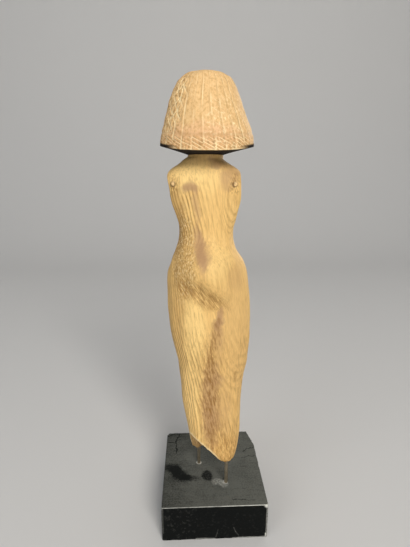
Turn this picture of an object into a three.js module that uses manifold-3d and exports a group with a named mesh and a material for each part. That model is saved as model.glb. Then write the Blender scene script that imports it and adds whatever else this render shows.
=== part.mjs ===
import * as THREE from "three";
import { mergeVertices } from "three/addons/utils/BufferGeometryUtils.js";
import Module from "manifold-3d";

// A carved wooden woman with a heavy wig and no arms, broken off at the calves and held by two pins
// above a painted wooden block. Millimetres, +Z up. The origin is the centre of the block's underside.
// The figure's back is towards -Y and its face looks along +Y.

// Painted block
const BLOCK_WIDTH = 55;
const BLOCK_DEPTH = 59;
const BLOCK_HEIGHT = 20.8;
const BLOCK_EDGE = 0.5;

// Metal pins
const PIN_DIAMETER = 1.8;
const PIN_SHOWING = 14.2;
const PIN_IN_BLOCK = 12;
const PIN_IN_WOOD = 15;

// Dowels in the backs of the shoulders
const PEG_DIAMETER = 2.2;
const PEG_LENGTH = 7;
const PEG_PROUD = 0.3;

// Room left all round a pin or a dowel in its hole
const FIT_GAP = 0.3;

// Carved figure, from the leg ends to the crown, and the place of its axis on the block
const FIGURE_HEIGHT = 194;
const FIGURE_BACK_OF_CENTRE = 5.7;

// Every carved size below is in thousandths of the figure's height.
const SHARE = FIGURE_HEIGHT / 1000;

// Body sections, from the leg ends up to the neck. The last value is how square a section is: 2 is round.
// [height, centre, half width, depth behind the axis, depth in front of it, squareness]
const BODY = [
  [0, 1.5, 60, 58, 63, 2.8],
  [30, 3, 66, 60, 62, 2.6],
  [75, 3, 71, 57, 60, 2.5],
  [131, 0, 77, 52, 57, 2.3],
  [188, -4, 82, 50, 58, 2.2],
  [242, -3, 86, 54, 61, 2.1],
  [297, -2, 94, 60, 65, 2.1],
  [351, -6, 102, 65, 67, 2.1],
  [402, -9, 106, 67, 68, 2.1],
  [440, -11, 107, 67, 67, 2.1],
  [485, -13, 105, 66, 65, 2.1],
  [531, -16, 102, 64, 62, 2.1],
  [563, -16, 92, 59, 58, 2.1],
  [594, -19, 76, 51, 53, 2.2],
  [625, -19, 67, 45, 48, 2.2],
  [665, -18, 70, 46, 46, 2.3],
  [713, -21, 82, 49, 46, 2.4],
  [747, -23, 85, 50, 45, 2.4],
  [770, -25, 86, 48, 44, 2.4],
  [783, -24, 84, 45, 42, 2.3],
  [791, -23, 75, 43, 41, 2.3],
  [799, -24, 61, 40, 39, 2.2],
  [810, -26, 46, 35, 35, 2.1],
];
const BODY_TOP = 814;

// Flat cuts down the sides of the shoulders
const SHOULDER_TRIM = 9;
const SHOULDER_TRIM_RANGE = [640, 710, 765, 790];

// Seat, with a fold under it that runs down to the right
const SEAT_SWELL = 25;
const SEAT_CENTRE = -26;
const SEAT_HALF = 62;
const SEAT_FOLD = 474;
const SEAT_FOLD_SLOPE = -0.5;
const SEAT_ROUND = 66;
const SEAT_LOW = 555;
const SEAT_TOP = 640;
const CLEFT_DEPTH = 3;
const CLEFT_CENTRE = -36;
const CLEFT_HEIGHT = 512;
const CLEFT_REACH = [6, 16];

// Swellings and hollows of the front: [how far it stands out, place each side of the middle, height, reaches]
const FRONT_FORMS = {
  breasts: [13, 38, 716, 24, 26],
  belly: [7, 0, 545, 52, 48],
  navel: [-4, 0, 580, 7, 8],
  knees: [5, 38, 190, 24, 24],
};

// Grooves between the legs, in front and behind: depth and reach
const LEG_GROOVE_LOW = 390;
const LEG_GROOVE_TOP = 430;
const LEG_GROOVE_FRONT = [7, 10];
const LEG_GROOVE_BACK = [4, 22];

// Neck and wig
const NECK_HALF = 42;
const NECK_TOP = 820;
const NECK_FOOT = 780;
const NECK_CENTRE = -20;
const CROWN = 1000;
const RIM = 842;
const RIM_DIP = 18.5;
const RIM_DIP_SOFTNESS = 0.2;
const RIM_HALF = 110.5;
const WIG_BACK_SHARE = 0.95;
const WIG_FRONT_SHARE = 0.88;
const BRAIDS = 26;
const BRAID_CUT = 2.4;
const BRAID_FADE = [0.02, 0.2];
const BAND_CUT = 2.2;
const BAND_PLACE = 0.82;
const BAND_WIDTH = 0.018;

// Wig sections by depth below the crown: [root of that depth, centre, half width as a share of the rim]
const WIG = [
  [0, -20, 0],
  [0.12, -20, 0.28],
  [0.25, -20, 0.46],
  [0.33, -20, 0.535],
  [0.41, -19.5, 0.6],
  [0.53, -21, 0.69],
  [0.63, -21, 0.755],
  [0.74, -20, 0.825],
  [0.84, -18, 0.905],
  [0.93, -17, 0.978],
  [1, -17, 1],
];

// Face, built on three equal parts from the chin to the hairline
const FACE_THIRD = 39.5;
const NOSE_BASE = 875;
const FACE_CENTRE = -18;
const FACE_DEPTH = 1.68;
const FACE_ROUNDING = [0.16, 0.1, 0.3];
const FOREHEAD_ROUNDING = 0.2;

// Forms of the face in thirds of it: [how far it stands out, place each side of the nose, height, reaches]
const FACE_FORMS = {
  sockets: [-0.2, 0.54, 0.76, 0.36, 0.22],
  nostrils: [0.13, 0.22, 0.1, 0.11, 0.11],
  muzzle: [0.15, 0, -0.38, 0.55, 0.3],
  upperLip: [0.1, 0, -0.26, 0.34, 0.08],
  lowerLip: [0.11, 0, -0.45, 0.29, 0.09],
  mouth: [-0.06, 0, -0.35, 0.38, 0.04],
  chin: [0.14, 0, -0.86, 0.38, 0.2],
  cheeks: [0.09, 0.72, 0.25, 0.32, 0.36],
};
const BROW = { swell: 0.07, height: 1.02, droop: 0.16, aside: 0.52, reach: 0.46, thick: 0.15 };
const EYE = { swell: 0.15, aside: 0.54, height: 0.75, half: 0.31, open: 0.15 };
const NOSE = {
  bridge: 0.1,
  tip: 0.5,
  bridgeHalf: 0.15,
  tipHalf: 0.25,
  top: 0.98,
  fade: 0.27,
  foot: 0.1,
  under: -0.05,
};

// Opening of the wig round the face
const OPENING_HALF = 50;
const OPENING_SHARE = 0.65;
const CHIN_DROP = 7;
const FRINGE_ARCH = 0.14;
const FRINGE_ARCH_FOOT = 0.6;
const FRINGE_ARCH_SPREAD = [0.8, 2.2];

// Broken leg end. Behind, the wood is gone up to a slanting edge: [place across, height of the edge].
// A rough step leads from there down to the front, where the leg end is whole. The step stands back
// from this line except at the stump round the left pin.
const BREAK_EDGE = [
  [-70, 82],
  [-48, 71],
  [-30, 62],
  [-8, 40],
  [14, 17],
  [28, 7],
  [70, 4],
];
const BREAK_STEP = [-26, 22];
const BREAK_STUMP = -43;
const BREAK_STUMP_REACH = 18;
const BREAK_STANDS_BACK = 11;
const BREAK_IN_FRONT = -6;
const BREAK_ROUGHNESS = 2;
const BREAK_WAVE_X = 57;
const BREAK_WAVE_Y = 76;
const BREAK_WAVE_SKEW = 0.6;
const BREAK_CELLS = 14;
const BREAK_BLOCK = 200;

// Sides of the round rods
const PIN_SIDES = 12;
const PEG_SIDES = 14;

// Net of the carved surfaces
const BODY_COLUMNS = 44;
const SHOULDER_ROWS = 7;
const SHOULDER_FOOT = 755;
const TRUNK_ROWS = 23;
const COLUMNS_PER_BRAID = 3;
const COLUMNS_PER_FRINGE_BRAID = 4;
const FACE_COLUMNS = 20;
const CROWN_ROWS = 6;
const HAIR_ROWS = 16;
const BORDER_ROWS = 5;
const UNDERSIDE_ROWS = 2;
const FRINGE_PLACE = 0.3;
const OPENING_WALL = 0.02;

const wasm = await Module();
wasm.setup();

const { clamp, degToRad, lerp, smoothstep } = THREE.MathUtils;

const WOOD = new THREE.MeshStandardMaterial({ color: 0xd9ae70, roughness: 0.62, metalness: 0 });
const DOWEL_WOOD = new THREE.MeshStandardMaterial({ color: 0xb98a50, roughness: 0.7, metalness: 0 });
const PIN_METAL = new THREE.MeshStandardMaterial({ color: 0x8a7a58, roughness: 0.38, metalness: 1 });
const BLACK_PAINT = new THREE.MeshStandardMaterial({ color: 0x1a1b1c, roughness: 0.5, metalness: 0 });

// Turns a closed geometry into a solid that can be cut and joined.
function solid(geometry) {
  const bare = geometry.clone();
  bare.deleteAttribute("normal");
  bare.deleteAttribute("uv");
  const merged = mergeVertices(bare, 1e-4);
  return new wasm.Manifold(
    new wasm.Mesh({
      numProp: 3,
      vertProperties: merged.getAttribute("position").array,
      triVerts: new Uint32Array(merged.index.array),
    }),
  );
}

// Turns a solid back into a geometry that can be drawn.
function drawn(body) {
  const mesh = body.getMesh();
  const geometry = new THREE.BufferGeometry();
  geometry.setAttribute("position", new THREE.BufferAttribute(mesh.vertProperties, 3));
  geometry.setIndex(new THREE.BufferAttribute(mesh.triVerts, 1));
  geometry.computeVertexNormals();
  return geometry;
}

// A round rod standing on a point, as a solid to cut with.
function uprightRod(radius, length, x, y, foot) {
  const rod = new THREE.CylinderGeometry(radius, radius, length, PIN_SIDES);
  rod.rotateX(Math.PI / 2);
  rod.translate(x, y, foot + length / 2);
  return solid(rod);
}

// Wraps a ball's net of columns and rows round a shape. Row 0 is the top pole, the last one the bottom pole.
function wrap(columns, rows, pointAt) {
  const net = new THREE.SphereGeometry(1, columns, rows);
  const position = net.getAttribute("position");
  for (let row = 0; row <= rows; row += 1) {
    for (let column = 0; column <= columns; column += 1) {
      const point = pointAt(column % columns, row);
      position.setXYZ(row * (columns + 1) + column, point.x, point.y, point.z);
    }
  }
  return net;
}

// Reads a row of values at a place on a smooth curve through rows of [place, ...values].
function readRow(rows, place) {
  let i = 0;
  while (i < rows.length - 2 && place > rows[i + 1][0]) i += 1;
  const here = rows[i];
  const next = rows[i + 1];
  const before = rows[Math.max(i - 1, 0)];
  const after = rows[Math.min(i + 2, rows.length - 1)];
  const span = next[0] - here[0];
  const t = clamp((place - here[0]) / span, 0, 1);
  return here.map((value, k) => {
    const leaving = ((next[k] - before[k]) / (next[0] - before[0])) * span;
    const arriving = ((after[k] - value) / (after[0] - here[0])) * span;
    const rise = next[k] - value;
    const bend = 3 * rise - 2 * leaving - arriving;
    const twist = leaving + arriving - 2 * rise;
    return value + t * (leaving + t * (bend + t * twist));
  });
}

// A smooth round swelling of height 1 that fades over the two given distances.
function mound(across, along, acrossReach, alongReach) {
  return Math.exp(-((across / acrossReach) ** 2) - (along / alongReach) ** 2);
}

function power(value, exponent) {
  return Math.sign(value) * Math.abs(value) ** exponent;
}

// The sum of a set of forms at a place beside the middle and at a height.
function formsAt(forms, side, height) {
  let sum = 0;
  for (const [swell, aside, at, acrossReach, alongReach] of Object.values(forms)) {
    sum += swell * mound(Math.abs(side) - aside, height - at, acrossReach, alongReach);
  }
  return sum;
}

// How much the seat stands out behind the body.
function seatAt(x, height) {
  const fold = SEAT_FOLD + SEAT_FOLD_SLOPE * (x - SEAT_CENTRE);
  const up = smoothstep(height, fold, fold + SEAT_ROUND);
  const down = 1 - smoothstep(height, SEAT_LOW, SEAT_TOP);
  const across = Math.exp(-(Math.abs((x - SEAT_CENTRE) / SEAT_HALF) ** 3));
  const cleft = CLEFT_DEPTH * mound(x - CLEFT_CENTRE, height - CLEFT_HEIGHT, ...CLEFT_REACH);
  return SEAT_SWELL * up * down * across - cleft;
}

function legGroove(side, height, [depth, reach]) {
  return depth * mound(side, 0, reach, 1) * (1 - smoothstep(height, LEG_GROOVE_LOW, LEG_GROOVE_TOP));
}

// A point of the body's surface, in thousandths of the figure's height.
function bodyPoint(angle, height) {
  const [, centre, half, back, front, squareness] = readRow(BODY, height);
  const [low, full, last, high] = SHOULDER_TRIM_RANGE;
  const trim = SHOULDER_TRIM * smoothstep(height, low, full) * (1 - smoothstep(height, last, high));
  const cos = power(Math.cos(angle), 2 / squareness);
  const sin = power(Math.sin(angle), 2 / squareness);
  const side = clamp((half + trim) * cos, -half, half);
  const x = centre + side;
  const rear = back + seatAt(x, height) - legGroove(side, height, LEG_GROOVE_BACK);
  const fore = front + formsAt(FRONT_FORMS, side, height) - legGroove(side, height, LEG_GROOVE_FRONT);
  return new THREE.Vector3(x, sin * (sin < 0 ? rear : fore), height);
}

// How far the back lies behind the axis at a place across it.
function backDepth(side, height) {
  const [, , half, back, , squareness] = readRow(BODY, height);
  const across = Math.abs(side) / (half + SHOULDER_TRIM);
  return back * (1 - across ** squareness) ** (1 / squareness);
}

// The face's distance in front of the axis, in thirds of the face, at a place from the nose base.
function faceDepth(x, z) {
  const side = Math.abs(x);
  const [round, square, jaw] = FACE_ROUNDING;
  const low = smoothstep(-z, NOSE.foot, 1);
  const dome = round * x ** 2 + square * x ** 4 + jaw * low * x ** 2;
  const forehead = FOREHEAD_ROUNDING * Math.max(z - BROW.height, 0) ** 2;
  const arch = (z - BROW.height + BROW.droop * x ** 2) / BROW.thick;
  const brow = BROW.swell * Math.exp(-(arch ** 2) - ((side - BROW.aside) / BROW.reach) ** 4);
  const lids = 1 - ((side - EYE.aside) / EYE.half) ** 2 - ((z - EYE.height) / EYE.open) ** 2;
  const eye = EYE.swell * Math.sqrt(Math.max(lids, 0));
  const down = clamp((NOSE.top - z) / (NOSE.top - NOSE.foot), 0, 1);
  const noseHalf = lerp(NOSE.bridgeHalf, NOSE.tipHalf, down);
  const ridge = lerp(NOSE.bridge, NOSE.tip, down) * mound(x, 0, noseHalf, 1);
  const fade = 1 - smoothstep(z, NOSE.top, NOSE.top + NOSE.fade);
  const nose = ridge * smoothstep(z, NOSE.under, NOSE.foot) * fade;
  return FACE_DEPTH - dome - forehead + brow + eye + nose + formsAt(FACE_FORMS, x, z);
}

// The angle from the right-hand side to the edge of the face's opening, where the wig has a half width.
function openingAngle(half) {
  return Math.acos(Math.min(OPENING_SHARE, OPENING_HALF / Math.max(half, 1)));
}

// The columns of the head's net: braids from the left edge of the opening round the back, then the face.
const BRAID_COLUMNS = BRAIDS * COLUMNS_PER_BRAID;
const HEAD_COLUMNS = BRAID_COLUMNS + FACE_COLUMNS;

// The angle of a column round a wig section, with the face's columns evenly spaced across the opening.
function headAngle(column, half) {
  const edge = openingAngle(half);
  if (column <= BRAID_COLUMNS) return Math.PI - edge + ((Math.PI + 2 * edge) * column) / BRAID_COLUMNS;
  const along = (column - BRAID_COLUMNS - 1) / (FACE_COLUMNS - 2);
  return Math.acos(Math.cos(edge) * lerp(1 - OPENING_WALL, OPENING_WALL - 1, along));
}

// The height of the wig's lower rim, which dips towards the back, and of the chin in front.
function rimHeight(column, angle) {
  const behind = -Math.sin(angle);
  const dip = RIM_DIP * 0.5 * (behind + Math.hypot(behind, RIM_DIP_SOFTNESS));
  const across = (RIM_HALF * Math.cos(angle)) / OPENING_HALF;
  const chin = column > BRAID_COLUMNS ? CHIN_DROP * (1 - across ** 4) : 0;
  return RIM - dip - chin;
}

// How much further down a row lies, so that the fringe is an arch over the face.
function archAt(angle, down) {
  const across = Math.abs(Math.cos(angle)) / OPENING_SHARE;
  const aside = Math.abs(angle - Math.PI / 2);
  const round = across < 1 ? across ** 2 : 1;
  const rise = Math.min(down / FRINGE_PLACE, 1);
  const fall = clamp((FRINGE_ARCH_FOOT - down) / (FRINGE_ARCH_FOOT - FRINGE_PLACE), 0, 1);
  return FRINGE_ARCH * round * rise * fall * (1 - smoothstep(aside, ...FRINGE_ARCH_SPREAD));
}

// A point of the wig or the face, at a share of the way down from the crown to the rim.
function wigPoint(column, place) {
  const roughHalf = readRow(WIG, Math.sqrt(place))[2] * RIM_HALF;
  const down = place + archAt(headAngle(column, roughHalf), place);
  const [, centre, halfShare] = readRow(WIG, Math.sqrt(down));
  const fullHalf = halfShare * RIM_HALF;
  const angle = headAngle(column, fullHalf);
  const inOpening = column > BRAID_COLUMNS && place > FRINGE_PLACE;
  const strand = column <= BRAID_COLUMNS ? COLUMNS_PER_BRAID : COLUMNS_PER_FRINGE_BRAID;
  const groove = (column <= BRAID_COLUMNS ? column : column - BRAID_COLUMNS) % strand === 0;
  const braidCut = groove ? BRAID_CUT * smoothstep(down, ...BRAID_FADE) : 0;
  const bandCut = BAND_CUT * Math.exp(-(((down - BAND_PLACE) / BAND_WIDTH) ** 2));
  const half = inOpening ? fullHalf : Math.max(fullHalf - braidCut - bandCut, 0);
  const x = centre + half * Math.cos(angle);
  const z = lerp(CROWN, rimHeight(column, angle), down);
  if (inOpening) {
    const depth = FACE_THIRD * faceDepth((x - FACE_CENTRE) / FACE_THIRD, (z - NOSE_BASE) / FACE_THIRD);
    return new THREE.Vector3(x, depth, z);
  }
  const depthShare = Math.sin(angle) > 0 ? WIG_FRONT_SHARE : WIG_BACK_SHARE;
  return new THREE.Vector3(x, half * Math.sin(angle) * depthShare, z);
}

// A point of the neck.
function neckPoint(angle, height) {
  return new THREE.Vector3(
    NECK_CENTRE + NECK_HALF * Math.cos(angle),
    NECK_HALF * WIG_BACK_SHARE * Math.sin(angle),
    height,
  );
}

// The shares of the way down the wig at which its rows lie.
function wigRows() {
  const rows = [];
  for (let i = 0; i < CROWN_ROWS; i += 1) rows.push(FRINGE_PLACE * (i / CROWN_ROWS) ** 2);
  rows.push(FRINGE_PLACE);
  const underFringe = FRINGE_PLACE + OPENING_WALL / 2;
  for (let i = 0; i < HAIR_ROWS; i += 1) rows.push(lerp(underFringe, BAND_PLACE, i / HAIR_ROWS));
  for (let i = 0; i <= BORDER_ROWS; i += 1) rows.push(lerp(BAND_PLACE, 1, i / BORDER_ROWS));
  return rows;
}

// Wig, face and neck
function head() {
  const places = wigRows();
  const lastWigRow = places.length - 1;
  const neckRow = lastWigRow + UNDERSIDE_ROWS;
  const rows = neckRow + 2;
  const net = wrap(HEAD_COLUMNS, rows, (column, row) => {
    if (row <= lastWigRow) return wigPoint(column, places[row]);
    const neck = neckPoint(headAngle(column, RIM_HALF), NECK_TOP);
    if (row <= neckRow) return wigPoint(column, 1).lerp(neck, (row - lastWigRow) / UNDERSIDE_ROWS);
    if (row < rows) return neck.setZ(NECK_FOOT);
    return new THREE.Vector3(NECK_CENTRE, 0, NECK_FOOT);
  });
  return net.scale(SHARE, SHARE, SHARE);
}

// The heights at which the body's rows lie, closer together over the shoulders.
function bodyRows() {
  const rows = [];
  const top = BODY[BODY.length - 1][0];
  for (let i = 0; i < SHOULDER_ROWS; i += 1) rows.push(lerp(top, SHOULDER_FOOT, i / SHOULDER_ROWS));
  for (let i = 0; i <= TRUNK_ROWS; i += 1) rows.push(lerp(SHOULDER_FOOT, 0, i / TRUNK_ROWS));
  return rows;
}

// Shoulders, trunk and legs
function body() {
  const heights = bodyRows();
  const rows = heights.length + 1;
  const net = wrap(BODY_COLUMNS, rows, (column, row) => {
    if (row === 0) return new THREE.Vector3(BODY[BODY.length - 1][1], 0, BODY_TOP);
    if (row === rows) return new THREE.Vector3(BODY[0][1], 0, 0);
    return bodyPoint((2 * Math.PI * column) / BODY_COLUMNS, heights[row - 1]);
  });
  return net.scale(SHARE, SHARE, SHARE);
}

// The height of the broken face at a place under the leg end.
function breakHeight(x, y) {
  const across = Math.sin((2 * Math.PI * x) / BREAK_WAVE_X + 1);
  const along = Math.sin((2 * Math.PI * (y + BREAK_WAVE_SKEW * x)) / BREAK_WAVE_Y + 2);
  const edge = readRow(BREAK_EDGE, x)[1];
  const back = BREAK_STANDS_BACK * smoothstep(Math.abs(x - BREAK_STUMP), 0, BREAK_STUMP_REACH);
  const step = smoothstep(y - back, ...BREAK_STEP);
  return lerp(edge, BREAK_IN_FRONT, step) + BREAK_ROUGHNESS * across * along;
}

// A block whose top is the rough broken face of the wood, to be cut away from the leg end.
function lostWood() {
  const size = BREAK_BLOCK;
  const chunk = new THREE.BoxGeometry(size, size, size, BREAK_CELLS, BREAK_CELLS, 1);
  const position = chunk.getAttribute("position");
  for (let i = 0; i < position.count; i += 1) {
    const isTop = position.getZ(i) > 0;
    const top = breakHeight(position.getX(i), position.getY(i));
    position.setZ(i, isTop ? top : -3 * size);
  }
  return chunk.scale(SHARE, SHARE, SHARE);
}

// Where the pins stand on the leg end, as shares of its half sizes from its centre: [to the right, forwards]
const PIN_SPOTS = { pin_left: [-0.67, 0.63], pin_right: [0.58, -0.68] };
function pinSpot([across, forward]) {
  const [, centre, half, back, front] = BODY[0];
  return {
    x: (centre + across * half) * SHARE,
    y: forward * (forward < 0 ? back : front) * SHARE,
  };
}

// Where the dowels show on the back, as [share of the shoulder's half width, height]
const PEG_SPOTS = { shoulder_peg_left: [-0.85, 754], shoulder_peg_right: [0.83, 753] };
function pegSpot([across, height]) {
  const [, centre, half] = readRow(BODY, height);
  return {
    x: (centre + across * half) * SHARE,
    y: -backDepth(across * half, height) * SHARE,
    z: height * SHARE,
  };
}

// A round rod lying along Y with its rear end at a place, as a solid to cut with.
function lyingRod(radius, length, x, rear, z) {
  const rod = new THREE.CylinderGeometry(radius, radius, length, PEG_SIDES);
  rod.translate(x, rear + length / 2, z);
  return solid(rod);
}

function carvedFigure() {
  let figure = solid(head()).add(solid(body())).subtract(solid(lostWood()));
  for (const place of Object.values(PIN_SPOTS)) {
    const { x, y } = pinSpot(place);
    const below = 5;
    const depth = below + PIN_IN_WOOD + FIT_GAP;
    figure = figure.subtract(uprightRod(PIN_DIAMETER / 2 + FIT_GAP, depth, x, y, -below));
  }
  for (const place of Object.values(PEG_SPOTS)) {
    const { x, y, z } = pegSpot(place);
    const behind = 5;
    const depth = behind + PEG_LENGTH - PEG_PROUD + FIT_GAP;
    figure = figure.subtract(lyingRod(PEG_DIAMETER / 2 + FIT_GAP, depth, x, y - behind, z));
  }
  const mesh = new THREE.Mesh(drawn(figure), WOOD);
  mesh.name = "figure";
  return mesh;
}

function shoulderPeg(name) {
  const { x, y, z } = pegSpot(PEG_SPOTS[name]);
  const geometry = new THREE.CylinderGeometry(PEG_DIAMETER / 2, PEG_DIAMETER / 2, PEG_LENGTH, PEG_SIDES);
  const mesh = new THREE.Mesh(geometry, DOWEL_WOOD);
  mesh.name = name;
  mesh.position.set(x, y - PEG_PROUD + PEG_LENGTH / 2, z);
  return mesh;
}

function pin(name) {
  const { x, y } = pinSpot(PIN_SPOTS[name]);
  const length = PIN_IN_BLOCK + PIN_SHOWING + PIN_IN_WOOD;
  const geometry = new THREE.CylinderGeometry(PIN_DIAMETER / 2, PIN_DIAMETER / 2, length, PIN_SIDES);
  const mesh = new THREE.Mesh(geometry, PIN_METAL);
  mesh.name = name;
  mesh.rotation.x = Math.PI / 2;
  mesh.position.set(x, y - FIGURE_BACK_OF_CENTRE, BLOCK_HEIGHT - PIN_IN_BLOCK + length / 2);
  return mesh;
}

// Chips out of the block's top edges: their places as shares of its width and depth, their length
// and bite as shares of its width, and their turn in degrees
const CHIPS = [
  { x: 0.515, y: 0.393, long: 0.33, bite: 0.047, turn: -76 },
  { x: -0.5, y: 0.5, long: 0.12, bite: 0.024, turn: 55 },
  { x: 0.5, y: 0.12, long: 0.091, bite: 0.016, turn: -94 },
  { x: 0.5, y: -0.02, long: 0.073, bite: 0.013, turn: -83 },
];
const CHIP_TILT = 20;

function baseBlock() {
  const across = BLOCK_WIDTH / 2 - BLOCK_EDGE;
  const along = BLOCK_DEPTH / 2 - BLOCK_EDGE;
  const outline = new THREE.Shape();
  outline.moveTo(-across, -along);
  outline.lineTo(across, -along);
  outline.lineTo(across, along);
  outline.lineTo(-across, along);
  outline.closePath();
  const geometry = new THREE.ExtrudeGeometry(outline, {
    depth: BLOCK_HEIGHT - 2 * BLOCK_EDGE,
    bevelThickness: BLOCK_EDGE,
    bevelSize: BLOCK_EDGE,
    bevelSegments: 1,
  });
  geometry.translate(0, 0, BLOCK_EDGE);
  let block = solid(geometry);
  for (const { x, y, long, bite, turn } of CHIPS) {
    const deep = bite * BLOCK_WIDTH;
    const chip = new THREE.BoxGeometry(long * BLOCK_WIDTH, 2 * deep, 4 * deep);
    chip.rotateX(degToRad(CHIP_TILT));
    chip.rotateZ(degToRad(turn));
    chip.translate(x * BLOCK_WIDTH, y * BLOCK_DEPTH, BLOCK_HEIGHT);
    block = block.subtract(solid(chip));
  }
  for (const place of Object.values(PIN_SPOTS)) {
    const { x, y } = pinSpot(place);
    const above = 5;
    const depth = PIN_IN_BLOCK + FIT_GAP;
    const foot = BLOCK_HEIGHT - depth;
    const radius = PIN_DIAMETER / 2 + FIT_GAP;
    block = block.subtract(uprightRod(radius, depth + above, x, y - FIGURE_BACK_OF_CENTRE, foot));
  }
  const mesh = new THREE.Mesh(drawn(block), BLACK_PAINT);
  mesh.name = "base_block";
  return mesh;
}

// The figure and its dowels stand above the block on the pins.
const carving = new THREE.Group();
carving.position.set(0, -FIGURE_BACK_OF_CENTRE, BLOCK_HEIGHT + PIN_SHOWING);
carving.add(carvedFigure(), ...Object.keys(PEG_SPOTS).map(shoulderPeg));

const part = new THREE.Group();
part.add(carving, ...Object.keys(PIN_SPOTS).map(pin), baseBlock());

export default part;
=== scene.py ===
"""A carved wooden woman in a heavy wig, on two pins above a black painted block.

The script builds the surfaces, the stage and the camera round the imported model. Lengths are in metres,
+Z is up, and the figure's back is towards -Y. The carved forms are in thousandths of the figure's height."""

import math
from types import SimpleNamespace as Form

import bpy
import numpy as np
from bpy.props import FloatProperty, FloatVectorProperty, IntProperty, PointerProperty
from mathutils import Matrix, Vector


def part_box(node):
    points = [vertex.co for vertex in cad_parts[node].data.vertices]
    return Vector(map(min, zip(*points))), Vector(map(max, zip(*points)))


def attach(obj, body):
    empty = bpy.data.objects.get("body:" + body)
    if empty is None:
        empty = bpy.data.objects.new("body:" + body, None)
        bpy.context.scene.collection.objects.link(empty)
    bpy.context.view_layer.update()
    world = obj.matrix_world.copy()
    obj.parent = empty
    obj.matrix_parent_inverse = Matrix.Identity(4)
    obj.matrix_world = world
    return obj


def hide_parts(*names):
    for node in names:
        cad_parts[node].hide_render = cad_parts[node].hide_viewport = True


bl_info = {
    "name": "Carved figure on a stand",
    "version": (1, 0, 0),
    "blender": (4, 5, 0),
    "location": "View3D > Sidebar > Carving",
    "description": "Builds a carved wooden figure, its dowels, pins and painted block, and a studio stage",
    "category": "Add Mesh",
}

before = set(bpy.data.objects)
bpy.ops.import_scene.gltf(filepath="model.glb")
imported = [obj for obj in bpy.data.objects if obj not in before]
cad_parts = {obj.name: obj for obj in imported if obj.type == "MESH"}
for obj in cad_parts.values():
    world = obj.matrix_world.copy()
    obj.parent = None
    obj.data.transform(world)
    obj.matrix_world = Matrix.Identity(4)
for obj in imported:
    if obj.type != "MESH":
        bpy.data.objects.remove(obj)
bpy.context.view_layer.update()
MM = 0.001

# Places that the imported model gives
FIGURE_LOW, FIGURE_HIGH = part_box("figure")
BLOCK_LOW, BLOCK_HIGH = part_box("base_block")
LEG_END = FIGURE_LOW.z
SHARE = (FIGURE_HIGH.z - FIGURE_LOW.z) / 1000

# Forms of the figure. They are the ones that the solid is made from.
AXIS_Y = -5.7 * MM
# [height, centre, half width, depth behind the axis, depth in front of it, squareness]
BODY = [
    [0, 1.5, 60, 58, 63, 2.8],
    [30, 3, 66, 60, 62, 2.6],
    [75, 3, 71, 57, 60, 2.5],
    [131, 0, 77, 52, 57, 2.3],
    [188, -4, 82, 50, 58, 2.2],
    [242, -3, 86, 54, 61, 2.1],
    [297, -2, 94, 60, 65, 2.1],
    [351, -6, 102, 65, 67, 2.1],
    [402, -9, 106, 67, 68, 2.1],
    [440, -11, 107, 67, 67, 2.1],
    [485, -13, 105, 66, 65, 2.1],
    [531, -16, 102, 64, 62, 2.1],
    [563, -16, 92, 59, 58, 2.1],
    [594, -19, 76, 51, 53, 2.2],
    [625, -19, 67, 45, 48, 2.2],
    [665, -18, 70, 46, 46, 2.3],
    [713, -21, 82, 49, 46, 2.4],
    [747, -23, 85, 50, 45, 2.4],
    [770, -25, 86, 48, 44, 2.4],
    [783, -24, 84, 45, 42, 2.3],
    [791, -23, 75, 43, 41, 2.3],
    [799, -24, 61, 41, 40, 2.2],
    [810, -25, 47, 39.7, 39.7, 2.1],
    [815, -21, 43, 39.9, 39.9, 2],
    [820, -20, 42, 39.9, 39.9, 2],
]
SHOULDER_TRIM = 9
SHOULDER_TRIM_RANGE = (640, 710, 765, 790)
SEAT = Form(swell=25, centre=-26, half=62, fold=474, slope=-0.5, round=66, low=555, top=640)
CLEFT = Form(depth=3, centre=-36, height=512, reach=(6, 16))
# Swellings of the front: how far out, place each side of the middle, height, reaches
FRONT_FORMS = {
    "breasts": (13, 38, 716, 24, 26),
    "belly": (7, 0, 545, 52, 48),
    "navel": (-4, 0, 580, 7, 8),
    "knees": (5, 38, 190, 24, 24),
}
LEG_GROOVE_HEIGHTS = (390, 430)
LEG_GROOVE_FRONT = (7, 10)
LEG_GROOVE_BACK = (4, 22)

NECK_HALF = 42
NECK_TOP = 820
NECK_CENTRE = -20
CROWN = 1000
RIM = 842
RIM_DIP = 18.5
RIM_DIP_SOFTNESS = 0.2
RIM_HALF = 110.5
WIG_BACK_SHARE = 0.95
WIG_FRONT_SHARE = 0.88
BAND_PLACE = 0.82
BAND_WIDTH = 0.018
# Crossed cuts are bold on the braids up to these shares of their number, from the left
NETTED = (0.33, 0.43)
STROKES_PER_BRAID = 80
# Lines between braids, as shares of a braid: how much they shake, their half width, and their shade's place
# beside them and half width
LINE_SHAKE = 0.05
LINE_HALF = 0.11
SHADE_ASIDE = 0.2
SHADE_HALF = 0.13
# [root of the depth below the crown, centre, half width as a share of the rim]
WIG = [
    [0, -20, 0],
    [0.1, -20, 0.213],
    [0.195, -20, 0.388],
    [0.27, -20, 0.487],
    [0.35, -20, 0.56],
    [0.43, -20, 0.623],
    [0.53, -21, 0.69],
    [0.63, -21, 0.755],
    [0.74, -20, 0.825],
    [0.84, -18, 0.905],
    [0.93, -17, 0.978],
    [1, -17, 1],
]

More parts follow.
